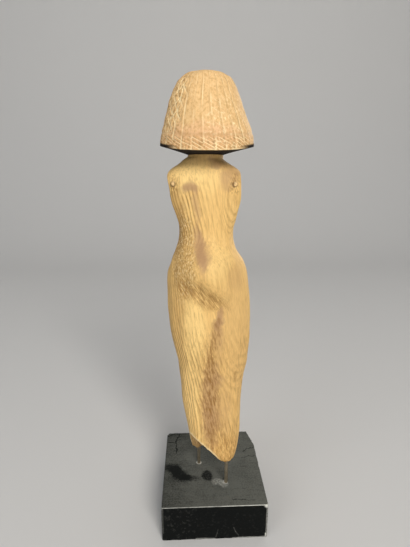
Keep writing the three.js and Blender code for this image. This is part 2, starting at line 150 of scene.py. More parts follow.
# Face, on three equal parts from the chin to the hairline
FACE_THIRD = 39.5
NOSE_BASE = 875
FACE_CENTRE = -18
FACE_DEPTH = 1.68
FACE_ROUNDING = (0.16, 0.1, 0.3)
FOREHEAD_ROUNDING = 0.2
FACE_FORMS = {
    "sockets": (-0.2, 0.54, 0.76, 0.36, 0.22),
    "nostrils": (0.13, 0.22, 0.1, 0.11, 0.11),
    "muzzle": (0.15, 0, -0.38, 0.55, 0.3),
    "upper_lip": (0.1, 0, -0.26, 0.34, 0.08),
    "lower_lip": (0.11, 0, -0.45, 0.29, 0.09),
    "mouth": (-0.06, 0, -0.35, 0.38, 0.04),
    "chin": (0.14, 0, -0.86, 0.38, 0.2),
    "cheeks": (0.09, 0.72, 0.25, 0.32, 0.36),
}
BROW = Form(swell=0.07, height=1.02, droop=0.16, aside=0.52, reach=0.46, thick=0.15)
EYE = Form(swell=0.15, aside=0.54, height=0.75, half=0.31, open=0.15)
NOSE = Form(bridge=0.1, tip=0.5, bridge_half=0.15, tip_half=0.25, top=0.98, fade=0.27, foot=0.1, under=-0.05)
OPENING_HALF = 50
OPENING_SHARE = 0.65
CHIN_DROP = 7
FRINGE_ARCH = 0.14
FRINGE_ARCH_FOOT = 0.6
FRINGE_ARCH_SPREAD = (0.8, 2.2)
FRINGE_PLACE = 0.3
OPENING_WALL = 0.02

# Broken leg end: the lower edge of the wood behind, as [place across, height], and the rough step
# down to the whole front, which stands back from its line except at the stump round the left pin
BREAK_EDGE = [[-70, 82], [-48, 71], [-30, 62], [-8, 40], [14, 17], [28, 7], [70, 4]]
BREAK_STEP = (-26, 22)
BREAK_STUMP = Form(place=-43, reach=18, stands_back=11)
BREAK_IN_FRONT = -6
BREAK_ROUGHNESS = 2
BREAK_WAVES = (57, 76, 0.6)

# Net of the figure's surface
COLUMNS_PER_BRAID = 11
FACE_COLUMNS = 90
CROWN_ROWS = 44
HAIR_ROWS = 56
BORDER_ROWS = 26
UNDERSIDE_ROWS = 8
SHOULDER_ROWS = 26
SHOULDER_FOOT = 755
TRUNK_ROWS = 112
LEG_TOP = 300
LEG_ROWS = 74
END_RINGS = 20


def colour_setting(name, about, *rgb):
    return FloatVectorProperty(name=name, description=about, subtype="COLOR", default=rgb)


def length_setting(name, about, millimetres):
    return FloatProperty(name=name, description=about, default=millimetres * MM, unit="LENGTH")


def lamp_setting(name, about, watts):
    return FloatProperty(name=name, description=about, default=watts, unit="POWER")


class CarvingSizes(bpy.types.PropertyGroup):
    """Sizes of the carving that a maker would change."""

    braids: IntProperty(name="Braids", description="Braids round the back of the wig", default=23, min=8)
    braid_cut: length_setting("Braid cut", "Depth of the line between two braids", 0.6)
    band_cut: length_setting("Band cut", "Depth of the line above the rim", 0.2)
    hatch_cut: length_setting("Hatch cut", "Depth of the slanting cuts", 0.5)
    hatch_gap: length_setting("Hatch gap", "Distance between slanting cuts", 2.3)
    border_gap: length_setting("Border gap", "Distance between the strokes along the rim", 1.45)
    knife_marks: length_setting("Knife marks", "Height of the uneven knife work", 0.16)


class WoodLook(bpy.types.PropertyGroup):
    """Colours and grain of the old wood."""

    pale: colour_setting("Pale wood", "Wood between two rings", 0.85, 0.545, 0.198)
    # Also the colour of the painted shade on the figure and the wig.
    brown: colour_setting("Ring lines", "Dark line of a ring", 0.31, 0.157, 0.04)
    smudge: colour_setting("Smudges", "Purple brown stains", 0.42, 0.24, 0.12)
    wig: colour_setting("Wig", "Wood of the wig", 0.86, 0.56, 0.255)
    # Also the colour of the painted highlight along the wig's rim.
    cut: colour_setting("Cuts", "Fresh looking wood in the cuts", 1.0, 0.8, 0.46)
    raw: colour_setting("Raw wood", "Wood of the broken face", 0.62, 0.4, 0.19)
    # Also the colour of the painted light on the top of the seat.
    bright: colour_setting("Bright wood", "Palest wood", 1.0, 0.705, 0.28)
    ochre: colour_setting("Foot", "Orange brown wood at the foot", 0.6, 0.33, 0.1)
    blush: colour_setting("Blush", "Redder wood low on the wig", 0.8, 0.46, 0.26)
    ring_gap: length_setting("Ring gap", "Distance between two rings", 1.25)


class StandLook(bpy.types.PropertyGroup):
    """Colours of the block, the pins and the dowels."""

    paint: colour_setting("Paint", "Black paint", 0.004, 0.0048, 0.0045)
    dust: colour_setting("Dust", "Grey dust on top of the block", 0.115, 0.118, 0.103)
    chalk: colour_setting("Chalk", "Pale marks and bare edges", 0.62, 0.62, 0.56)
    metal: colour_setting("Metal", "Tarnished brass of the pins", 0.5, 0.42, 0.3)
    dowel: colour_setting("Dowel", "End grain of the dowels", 0.84, 0.56, 0.25)


class StageLook(bpy.types.PropertyGroup):
    """Colours and lights of the stage."""

    floor: colour_setting("Floor", "Colour of the floor", 0.72, 0.71, 0.69)
    key: lamp_setting("Key light", "Power of the main light", 16.4)
    fill: lamp_setting("Fill light", "Power of the left light", 5.2)
    top: lamp_setting("Top light", "Power of the light above", 3.0)
    rim: lamp_setting("Rim light", "Power of the light on the far side", 5.0)
    air: FloatProperty(name="Room light", description="Strength of the light from all round", default=0.16)


def smoothstep(value, low, high):
    t = np.clip((value - low) / (high - low), 0, 1)
    return t * t * (3 - 2 * t)


def lerp(a, b, t):
    return a + (b - a) * t


def mound(across, along, across_reach, along_reach):
    """A smooth round swelling of height 1 that fades over the two given distances."""
    return np.exp(-((across / across_reach) ** 2) - (along / along_reach) ** 2)


def power(value, exponent):
    return np.sign(value) * np.abs(value) ** exponent


def read_rows(rows, place):
    """Reads values at places on a smooth curve through rows of [place, ...values]."""
    rows = np.asarray(rows, float)
    place = np.asarray(place, float)
    i = np.clip(np.searchsorted(rows[:, 0], place) - 1, 0, len(rows) - 2)
    here, following = rows[i], rows[i + 1]
    before, after = rows[np.maximum(i - 1, 0)], rows[np.minimum(i + 2, len(rows) - 1)]
    span = following[..., :1] - here[..., :1]
    t = np.clip((place[..., None] - here[..., :1]) / span, 0, 1)
    leaving = (following - before) / (following[..., :1] - before[..., :1]) * span
    arriving = (after - here) / (after[..., :1] - here[..., :1]) * span
    rise = following - here
    bend = 3 * rise - 2 * leaving - arriving
    twist = leaving + arriving - 2 * rise
    return np.moveaxis(here + t * (leaving + t * (bend + t * twist)), -1, 0)


def unevenness(points, scale, seed, waves=28):
    """A smooth uneven field from about -1 to 1 at points, with hills of about the given size."""
    rng = np.random.default_rng(seed)
    direction = rng.normal(size=(waves, 3))
    direction /= np.linalg.norm(direction, axis=1, keepdims=True)
    pace = 2 * math.pi / scale * rng.uniform(0.55, 1.5, waves)
    phase = rng.uniform(0, 2 * math.pi, waves)
    flat = np.asarray(points, float).reshape(-1, 3)
    total = np.zeros(len(flat))
    for k in range(waves):
        total += np.cos(flat @ (direction[k] * pace[k]) + phase[k])
    return (total / math.sqrt(waves)).reshape(np.shape(points)[:-1])


def forms_at(forms, side, height):
    total = 0
    for swell, aside, at, across_reach, along_reach in forms.values():
        total = total + swell * mound(np.abs(side) - aside, height - at, across_reach, along_reach)
    return total


def seat_at(x, height):
    """How much the seat stands out behind the body."""
    fold = SEAT.fold + SEAT.slope * (x - SEAT.centre)
    up = smoothstep(height, fold, fold + SEAT.round)
    down = 1 - smoothstep(height, SEAT.low, SEAT.top)
    across = np.exp(-(np.abs((x - SEAT.centre) / SEAT.half) ** 3))
    cleft = CLEFT.depth * mound(x - CLEFT.centre, height - CLEFT.height, *CLEFT.reach)
    return SEAT.swell * up * down * across - cleft


def leg_groove(side, height, groove):
    depth, reach = groove
    return depth * mound(side, 0, reach, 1) * (1 - smoothstep(height, *LEG_GROOVE_HEIGHTS))


def body_points(angle, height):
    """Points of the body's surface, in thousandths of the figure's height."""
    _, centre, half, back, front, squareness = read_rows(BODY, height)
    low, full, last, high = SHOULDER_TRIM_RANGE
    trim = SHOULDER_TRIM * smoothstep(height, low, full) * (1 - smoothstep(height, last, high))
    cos = power(np.cos(angle), 2 / squareness)
    sin = power(np.sin(angle), 2 / squareness)
    side = np.clip((half + trim) * cos, -half, half)
    x = centre + side
    rear = back + seat_at(x, height) - leg_groove(side, height, LEG_GROOVE_BACK)
    fore = front + forms_at(FRONT_FORMS, side, height) - leg_groove(side, height, LEG_GROOVE_FRONT)
    return np.stack([x, sin * np.where(sin < 0, rear, fore), height + 0 * x], -1)


def face_depth(x, z):
    """The face's distance in front of the axis, in thirds of the face."""
    side = np.abs(x)
    round_, square, jaw = FACE_ROUNDING
    low = smoothstep(-z, NOSE.foot, 1)
    dome = round_ * x**2 + square * x**4 + jaw * low * x**2
    forehead = FOREHEAD_ROUNDING * np.maximum(z - BROW.height, 0) ** 2
    arch = (z - BROW.height + BROW.droop * x**2) / BROW.thick
    brow = BROW.swell * np.exp(-(arch**2) - ((side - BROW.aside) / BROW.reach) ** 4)
    lids = 1 - ((side - EYE.aside) / EYE.half) ** 2 - ((z - EYE.height) / EYE.open) ** 2
    eye = EYE.swell * np.sqrt(np.maximum(lids, 0))
    down = np.clip((NOSE.top - z) / (NOSE.top - NOSE.foot), 0, 1)
    nose_half = lerp(NOSE.bridge_half, NOSE.tip_half, down)
    ridge = lerp(NOSE.bridge, NOSE.tip, down) * mound(x, 0, nose_half, 1)
    fade = 1 - smoothstep(z, NOSE.top, NOSE.top + NOSE.fade)
    nose = ridge * smoothstep(z, NOSE.under, NOSE.foot) * fade
    return FACE_DEPTH - dome - forehead + brow + eye + nose + forms_at(FACE_FORMS, x, z)


def head_angles(column, braid_columns, half):
    """Angles of columns round a wig section: braids round the back, then the face from right to left."""
    edge = np.arccos(np.minimum(OPENING_SHARE, OPENING_HALF / np.maximum(half, 1)))
    braided = math.pi - edge + (math.pi + 2 * edge) * column / braid_columns
    along = (column - braid_columns - 1) / (FACE_COLUMNS - 2)
    across = np.cos(edge) * lerp(1 - OPENING_WALL, OPENING_WALL - 1, along)
    facing = 2 * math.pi + np.arccos(np.clip(across, -1, 1))
    return np.where(column <= braid_columns, braided, facing)


def arch_at(angle, down):
    """How much further down a row lies, so that the fringe is an arch over the face."""
    across = np.abs(np.cos(angle)) / OPENING_SHARE
    aside = np.abs(np.mod(angle, 2 * math.pi) - math.pi / 2)
    rounding = np.where(across < 1, across**2, 1)
    rise = np.minimum(down / FRINGE_PLACE, 1)
    fall = np.clip((FRINGE_ARCH_FOOT - down) / (FRINGE_ARCH_FOOT - FRINGE_PLACE), 0, 1)
    return FRINGE_ARCH * rounding * rise * fall * (1 - smoothstep(aside, *FRINGE_ARCH_SPREAD))


def strokes(across, along, gap, slope, width, rng, shares):
    """Slanting cuts across braids: how deep they are from 0 to 1 at places across and along each braid."""
    braid = np.floor(across).astype(int)
    phase = across - braid
    braids = int(braid.max()) + 1
    lines = STROKES_PER_BRAID
    start = rng.uniform(0, 1, braids)
    stretch = rng.uniform(0.85, 1.2, braids)
    lean = slope * rng.uniform(0.75, 1.25, braids)
    shift = rng.uniform(-0.16, 0.16, (braids, lines))
    depth = rng.uniform(*shares, (braids, lines))
    number = (along - lean[braid] * phase) / (gap * stretch[braid]) + start[braid]
    deepest = np.zeros(np.shape(across))
    for step in (-1, 0, 1):
        line = np.clip(np.round(number) + step, 0, lines - 1).astype(int)
        distance = np.abs(number - line - shift[braid, line]) * gap
        deepest = np.maximum(deepest, depth[braid, line] * np.clip(1 - distance / width, 0, 1))
    return deepest


class HeadNet:
    """The net of the wig and the face, down to the neck."""

    def __init__(self, sizes):
        self.sizes = sizes
        self.braid_columns = sizes.braids * COLUMNS_PER_BRAID
        self.columns = self.braid_columns + FACE_COLUMNS

    def places(self):
        """The shares of the way down the wig at which its rows lie."""
        crown = FRINGE_PLACE * (np.arange(1, CROWN_ROWS) / CROWN_ROWS) ** 1.6
        hair = np.linspace(FRINGE_PLACE + OPENING_WALL / 2, BAND_PLACE, HAIR_ROWS, endpoint=False)
        border = np.linspace(BAND_PLACE, 1, BORDER_ROWS + 1)
        return np.concatenate([crown, [FRINGE_PLACE], hair, border])

    def smooth_points(self, column, place):
        """Points of the wig without its cuts, and their angles and shares of the way down."""
        rough_half = read_rows(WIG, np.sqrt(place))[2] * RIM_HALF
        first = head_angles(column, self.braid_columns, rough_half)
        down = place + arch_at(first, place)
        _, centre, half_share = read_rows(WIG, np.sqrt(down))
        half = half_share * RIM_HALF
        angle = head_angles(column, self.braid_columns, half)
        behind = -np.sin(angle)
        dip = RIM_DIP * 0.5 * (behind + np.hypot(behind, RIM_DIP_SOFTNESS))
        across = RIM_HALF * np.cos(angle) / OPENING_HALF
        chin = np.where(column > self.braid_columns, CHIN_DROP * (1 - across**4), 0)
        share = np.where(np.sin(angle) > 0, WIG_FRONT_SHARE, WIG_BACK_SHARE)
        x = centre + half * np.cos(angle)
        z = lerp(CROWN, RIM - dip - chin, down)
        return np.stack([x, half * np.sin(angle) * share, z], -1), angle, down

    def cuts(self, column, points, down):
        """How deep the wig's lines are cut, in metres, how much they show, with a painted highlight along the
        rim, and how much painted shade they get, from 0 to 1.
        """
        sizes = self.sizes
        rng = np.random.default_rng(11)
        at = points * SHARE
        braid = column / COLUMNS_PER_BRAID
        fringe = (column - self.braid_columns) / (FACE_COLUMNS / 5) + sizes.braids
        across = np.where(column <= self.braid_columns, np.minimum(braid, sizes.braids - 1e-6), fringe)
        steps = np.linalg.norm(np.diff(points, axis=0, prepend=points[:1]), axis=-1)
        along = np.cumsum(steps, axis=0) * SHARE
        shaky = np.clip(across + LINE_SHAKE * unevenness(at, 14 * MM, 16), 0, None)
        beside = shaky - np.round(across)
        nearest = np.round(across).astype(int)
        left, right = (sizes.braids * share for share in NETTED)
        netted = 1 - smoothstep(across, left, right)
        boldness = np.maximum(rng.uniform(0.6, 1, nearest.max() + 1)[nearest], netted)
        boldness = boldness * (0.8 + 0.4 * unevenness(at, 6 * MM, 15)).clip(0.15, 1)
        fade = smoothstep(down, 0.012, 0.09) * boldness
        line = np.clip(1 - np.abs(beside) / LINE_HALF, 0, 1) * fade
        # Painted shade on one side of each line between braids.
        line_shade = np.clip(1 - np.abs(beside + SHADE_ASIDE) / SHADE_HALF, 0, 1) * fade
        in_hair = smoothstep(down, 0.05, 0.1) * (1 - smoothstep(down, BAND_PLACE - 0.03, BAND_PLACE))
        in_border = smoothstep(down, BAND_PLACE + 0.01, BAND_PLACE + 0.035)
        # Strokes: place across, where they lie, gap, slope and half width in millimetres, range of depths
        kinds = [
            (across, in_hair * (1 - netted), sizes.hatch_gap, 2.2, 0.34, (-0.5, 0.8)),
            (shaky, in_hair * netted, 2.1 * sizes.hatch_gap, 5.5, 0.62, (0.8, 1.2)),
            (shaky, in_hair * netted, 2.3 * sizes.hatch_gap, -5.5, 0.62, (0.6, 1.2)),
            (across, in_border, sizes.border_gap, 2.4, 0.36, (0.5, 1)),
        ]
        hatch = 0
        for place, where, gap, slope, half, shares in kinds:
            hatch = np.maximum(hatch, strokes(place, along, gap, slope * MM, half * MM, rng, shares) * where)
        hatch = np.minimum(hatch, 1)
        filled = unevenness(at, 1.5 * MM, 27).clip(0, 1) * (netted * in_hair + 0.8 * in_border)
        band = np.exp(-(((down - BAND_PLACE) / BAND_WIDTH) ** 2))
        wear = 0.62 + 0.3 * unevenness(at, 11 * MM, 5) + 0.38 * netted
        wear = np.clip(np.maximum(wear, 0.75 * in_border), 0.3, 1)
        # Painted highlight along the lower edge of the rim, in the colour of the cuts.
        lit_rim = smoothstep(down, 0.965, 0.99) * (0.6 + 0.5 * unevenness(at, 2.6 * MM, 28)).clip(0, 1)
        depths = (
            line * sizes.braid_cut * (0.45 + 0.55 * wear),
            hatch * sizes.hatch_cut * wear,
            band * sizes.band_cut * (0.5 + 0.5 * wear),
        )
        shows = (line * (0.5 + 0.5 * wear), hatch * wear, 0.3 * band * wear, 0.5 * lit_rim)
        # Painted shade beside the braid lines and in the band's groove, with darker patches among the crossed
        # cuts and in the border.
        shade = np.clip(0.75 * line_shade * (0.4 + 0.6 * wear) + 0.8 * filled + 0.3 * band, 0, 1)
        return np.max(depths, axis=0), np.max(shows, axis=0), shade

    def build(self):
        """Rows of points from the crown to the neck, in shares, how cut and shaded each point is, and the
        painted shade under the wig's rim.
        """
        column, place = np.meshgrid(np.arange(self.columns), self.places())
        points, angle, down = self.smooth_points(column, place)
        depth, shown, shade = self.cuts(column, points, down)
        opening = (column > self.braid_columns) & (place > FRINGE_PLACE)
        across, up = (points[..., 0] - FACE_CENTRE) / FACE_THIRD, (points[..., 2] - NOSE_BASE) / FACE_THIRD
        face = FACE_THIRD * face_depth(across, up)
        worn = self.sizes.knife_marks * 0.6 * unevenness(points * SHARE, 5 * MM, 9)
        inward = np.where(opening, 0, (depth + worn) / SHARE)
        out = np.stack([np.cos(angle), np.sin(angle)], -1) * smoothstep(down, 0, 0.06)[..., None]
        points[..., :2] -= out * inward[..., None]
        points[..., 2] -= inward * (1 - smoothstep(down, 0.02, 0.25))
        points[..., 1] = np.where(opening, face, points[..., 1])
        rim, neck = points[-1], self.neck()
        under = [lerp(rim, neck, (i / UNDERSIDE_ROWS) ** 1.5) for i in range(1, UNDERSIDE_ROWS + 1)]
        aside = np.abs(points[..., 0] - rim[:, 0].mean()) / RIM_HALF
        # Painted shade along the rim's lower edge at the back and sides; the underside rows get it in full.
        under_rim_shade = smoothstep(down, 0.945, 0.97) * smoothstep(aside, 0.55, 0.85)
        hidden = np.zeros((UNDERSIDE_ROWS, self.columns))
        kept = [np.concatenate([np.where(opening, 0, values), hidden]) for values in (shown, shade, under_rim_shade)]
        kept[2][-UNDERSIDE_ROWS:] = 1
        return np.concatenate([points, under]), *kept

    def neck(self):
        angle = head_angles(np.arange(self.columns), self.braid_columns, RIM_HALF)
        x = NECK_CENTRE + NECK_HALF * np.cos(angle)
        y = NECK_HALF * WIG_BACK_SHARE * np.sin(angle)
        return np.stack([x, y, np.full(len(x), float(NECK_TOP))], -1)


def break_height(x, y):
    """The height of the broken face of the leg end, in shares."""
    wave_x, wave_y, skew = BREAK_WAVES
    rough = np.sin(2 * math.pi * x / wave_x + 1) * np.sin(2 * math.pi * (y + skew * x) / wave_y + 2)
    flat = np.stack([x, y, 0 * x], -1) * SHARE
    splinters = 1.5 * unevenness(flat * [1, 1, 0], 3.2 * MM, 21) + 0.8 * unevenness(flat, 1.5 * MM, 22)
    stump = smoothstep(np.abs(x - BREAK_STUMP.place), 0, BREAK_STUMP.reach)
    step = smoothstep(y - BREAK_STUMP.stands_back * stump, *BREAK_STEP)
    height = lerp(read_rows(BREAK_EDGE, x)[1], BREAK_IN_FRONT, step)
    return height + BREAK_ROUGHNESS * rough + splinters


def body_net(angles_at_neck):
    """Rows of body points from the neck down to the broken end, in shares."""
    columns = len(angles_at_neck)
    even = angles_at_neck[0] + 2 * math.pi * np.arange(columns) / columns
    shoulders = NECK_TOP - (NECK_TOP - SHOULDER_FOOT) * np.arange(1, SHOULDER_ROWS) / SHOULDER_ROWS
    trunk = np.linspace(SHOULDER_FOOT, LEG_TOP, TRUNK_ROWS, endpoint=False)
    level = np.concatenate([shoulders, trunk])
    blend = smoothstep(level, SHOULDER_FOOT, NECK_TOP - 8)[:, None]
    angle = lerp(even[None], angles_at_neck[None], blend)
    upper = body_points(angle, np.broadcast_to(level[:, None], angle.shape))
    end = np.zeros(columns)
    for _ in range(40):
        at = body_points(even, end)
        end = lerp(end, np.maximum(break_height(at[:, 0], at[:, 1]), 0), 0.4)
    t = np.linspace(0, 1, LEG_ROWS)[:, None]
    height = lerp(LEG_TOP, end[None], t)
    lower = body_points(np.broadcast_to(even, height.shape), height)
    return np.concatenate([upper, lower])


def end_net(ring):
    """Rings across the broken end of the legs, from the edge to the middle."""
    middle = np.array([BODY[0][1], 0.0])
    rings = []
    for i in range(1, END_RINGS):
        at = lerp(ring[:, :2], middle, i / END_RINGS)
        lift = np.maximum(break_height(at[:, 0], at[:, 1]), 0)
        rings.append(np.column_stack([at, lift]))
    centre = np.array([*middle, max(float(break_height(middle[:1], middle[1:])[0]), 0)])
    return np.array(rings), centre


def fan(first, columns, centre, flip=False):
    """Triangles between a ring that starts at vertex first and its middle."""
    sides = [(first + i, first + (i + 1) % columns) for i in range(columns)]
    return [(a, centre, b) if flip else (a, b, centre) for a, b in sides]


def strips(first, rows, columns):
    """Faces between rows of a closed net that starts at vertex first."""
    faces = []
    for a in range(first, first + (rows - 1) * columns, columns):
        for column in range(columns):
            after = (column + 1) % columns
            faces.append((a + column, a + columns + column, a + columns + after, a + after))
    return faces


def closed_net(rows, columns):
    """Faces of a net between a first and a last point."""
    last = 1 + (rows - 1) * columns
    return fan(1, columns, 0) + strips(1, rows, columns) + fan(last, columns, last + columns, flip=True)


def mesh_object(name, points, faces):
    mesh = bpy.data.meshes.new(name)
    mesh.from_pydata([tuple(p) for p in points], [], faces)
    mesh.validate()
    mesh.shade_smooth()
    made = bpy.data.objects.new(name, mesh)
    bpy.context.scene.collection.objects.link(made)
    return made


def paint_points(made, name, values, first=0):
    """Keeps a number for each point from the first on, and 0 for the rest, for the material to read."""
    kept = np.zeros(len(made.data.vertices), np.float32)
    kept[first : first + np.size(values)] = np.ravel(values)
    made.data.attributes.new(name, "FLOAT", "POINT").data.foreach_set("value", kept)


def to_frame(points):
    """Turns carved points in shares into metres in the model's frame."""
    return points * SHARE + np.array([0, AXIS_Y, LEG_END])


class Value:
    """A number that changes over a surface, or a place or colour. Sums with a number add the nodes they need."""

    def __init__(self, recipe, socket):
        self.recipe = recipe
        self.socket = socket

    def _sum(self, operation, *terms):
        made = self.recipe.node("ShaderNodeMath", {"operation": operation}, dict(enumerate(terms)))
        return Value(self.recipe, made.outputs[0])

    def __add__(self, other):
        return self._sum("ADD", self, other)

    __radd__ = __add__

    def __sub__(self, other):
        return self._sum("SUBTRACT", self, other)

    def __rsub__(self, other):
        return self._sum("SUBTRACT", other, self)

    def __mul__(self, other):
        return self._sum("MULTIPLY", self, other)

    __rmul__ = __mul__

    def __truediv__(self, other):
        return self._sum("DIVIDE", self, other)

    def __rtruediv__(self, other):
        return self._sum("DIVIDE", other, self)

    def __pow__(self, other):
        return self._sum("POWER", self, other)

    def __rpow__(self, other):
        return self._sum("POWER", other, self)

    def fraction(self):
        return self._sum("FRACT", self)

    def most(self, other):
        return self._sum("MAXIMUM", self, other)

    def least(self, other):
        return self._sum("MINIMUM", self, other)

    def between(self, low, high):
        """0 below low, 1 above high, and a smooth rise in between."""
        settings = {"interpolation_type": "SMOOTHSTEP"}
        made = self.recipe.node("ShaderNodeMapRange", settings, {0: self, 1: low, 2: high})
        return Value(self.recipe, made.outputs[0])


class Recipe:
    """The nodes of one material."""

    def __init__(self, name):
        self.material = bpy.data.materials.new(name)
        self.material.use_nodes = True
        self.tree = self.material.node_tree
        self.tree.nodes.clear()
        place = self.node("ShaderNodeTexCoord")
        self.place = Value(self, place.outputs["Object"])
        made = self.node("ShaderNodeSeparateXYZ", {}, {0: self.place})
        self.x, self.y, self.z = (Value(self, made.outputs[i]) for i in range(3))

    def node(self, kind, settings=None, sockets=None):
        """Adds a node: its settings are set first, then the values or links of its sockets."""
        made = self.tree.nodes.new(kind)
        for name, value in (settings or {}).items():
            setattr(made, name, value)
        for name, value in (sockets or {}).items():
            if isinstance(value, Value):
                self.tree.links.new(value.socket, made.inputs[name])
            else:
                made.inputs[name].default_value = value
        return made

    def noise(self, sizes, detail=2.0, roughness=0.5, seed=0.0, turn=0.0):
        """Noise from 0 to 1 whose spots have about the given sizes along X, Y and Z, in millimetres.

        The turn leans the spots' upper ends to the left, in degrees."""
        sockets = {"Vector": self.place, "Angle": math.radians(turn)}
        leaning = self.node("ShaderNodeVectorRotate", {"rotation_type": "Y_AXIS"}, sockets)
        factors = tuple(1 / (size * MM) for size in sizes)
        sockets = {0: Value(self, leaning.outputs[0]), 1: factors, 2: (seed, seed * 1.7, seed * 0.6)}
        vector = self.node("ShaderNodeVectorMath", {"operation": "MULTIPLY_ADD"}, sockets)
        sockets = {"Vector": Value(self, vector.outputs[0]), "Scale": 1.0}
        sockets.update({"Detail": detail, "Roughness": roughness})
        return Value(self, self.node("ShaderNodeTexNoise", {}, sockets).outputs[0])

    def kept(self, name):
        """A number that the mesh keeps for each point."""
        return Value(self, self.node("ShaderNodeAttribute", {"attribute_name": name}).outputs["Fac"])

    def mix(self, factor, a, b):
        """Colour a where the factor is 0 and colour b where it is 1."""
        settings = {"data_type": "RGBA", "blend_type": "MIX", "clamp_factor": True}
        colours = {0: factor, 6: _colour(a), 7: _colour(b)}
        return Value(self, self.node("ShaderNodeMix", settings, colours).outputs[2])

    def coats(self, ground, *coats):
        """Lays coats over a ground, each as its factor and its colour."""
        for factor, coat in coats:
            ground = self.mix(factor, ground, coat)
        return ground

    def spot(self, u, v, place, half, turn=0.0, soft=0.5):
        """A soft oval spot on two axes, from 0 to 1. Lengths are in millimetres and the turn in degrees."""
        across = u / MM - place[0]
        up = v / MM - place[1]
        if turn:
            cos, sin = math.cos(math.radians(turn)), math.sin(math.radians(turn))
            across, up = across * cos + up * sin, up * cos - across * sin
        across, up = across / half[0], up / half[1]
        return 1 - (across * across + up * up).between(1 - soft, 1 + soft)

    def line(self, u, v, start, end, half):
        """A thin line between two places on two axes, from 0 to 1. Lengths are in millimetres."""
        step = Vector(end) - Vector(start)
        across = u / MM - start[0]
        up = v / MM - start[1]
        along = (across * step.x + up * step.y) / step.length_squared
        along = along.most(0).least(1)
        across, up = across - along * step.x, up - along * step.y
        return 1 - ((across * across + up * up) ** 0.5).between(0.35 * half, half)

    def finish(self, sockets, height=None, distance=0.1 * MM, strength=1.0):
        """Ends the material. Height is a relief whose full size is distance."""
        shader = self.node("ShaderNodeBsdfPrincipled", {}, sockets)
        if height is not None:
            relief = {"Height": height, "Distance": distance, "Strength": strength}
            bump = self.node("ShaderNodeBump", {}, relief)
            self.tree.links.new(bump.outputs[0], shader.inputs["Normal"])
        end = self.node("ShaderNodeOutputMaterial")
        self.tree.links.new(shader.outputs[0], end.inputs[0])
        return self.material


def _colour(value):
    return value if isinstance(value, Value) else (*tuple(value)[:3], 1.0)


def darker(colour, share):
    return tuple(share * channel for channel in colour)


# The wood's rings: the pith lies in front of the figure and to its left, and leans a little.
PITH_X = -46 * MM
PITH_Y = 52 * MM
PITH_LEAN = -0.2
PITH_HEIGHT = 120 * MM
WIG_FOOT = 195 * MM

# Purple brown smudges on the back, in millimetres: place across and height, half sizes, turn, strength
SMUDGES = [
    ((-11.0, 179.6), (3.8, 2.6), -14, 0.8),
    ((-8.4, 172), (1.8, 8), 8, 0.45),
    ((0.6, 189.6), (3.6, 1.8), -24, 0.6),
    ((7.2, 184.2), (4.2, 6), -30, 0.55),
    ((-7.0, 152), (2.4, 10.5), 6, 0.75),
    ((-5.0, 149), (3.0, 5.5), 0, 0.55),
    ((2.2, 117.5), (2.3, 5.5), -8, 0.85),
    ((1.0, 110), (2.8, 7), -8, 0.4),
    ((10.3, 138.7), (3.8, 7), 0, 0.22),
    ((-0.4, 98), (4.4, 13), -10, 0.3),
    ((-1.8, 84), (4.2, 10), -6, 0.8),
    ((1.0, 84), (4.4, 4), -15, 0.6),
    ((-1.8, 64), (4.4, 18), 2, 0.85),
    ((-2.2, 62), (2.4, 11), 2, 0.85),
    ((4.6, 66), (5, 13), 0, 0.4),
    ((10, 110), (8, 30), 0, 0.16),
]
# Paler places: place, half sizes, strength. The one on the top of the seat is painted light.
PALE_AND_LIT_PLACES = [
    ((-12.5, 185), (7, 7), 0.75),
    ((-2.5, 184), (5, 7), 0.5),
    ((0.8, 146), (6.5, 7.5), 0.45),
    ((-10.5, 112), (6, 16), 0.7),
    ((-11, 82), (4, 22), 0.5),
]
# Dark streak down the middle of the legs, as places on the back
STREAK = [(1.8, 117), (-2.4, 93), (-1.0, 80), (-2.4, 66), (-2.2, 50)]
DOWELS = ("shoulder_peg_left", "shoulder_peg_right")


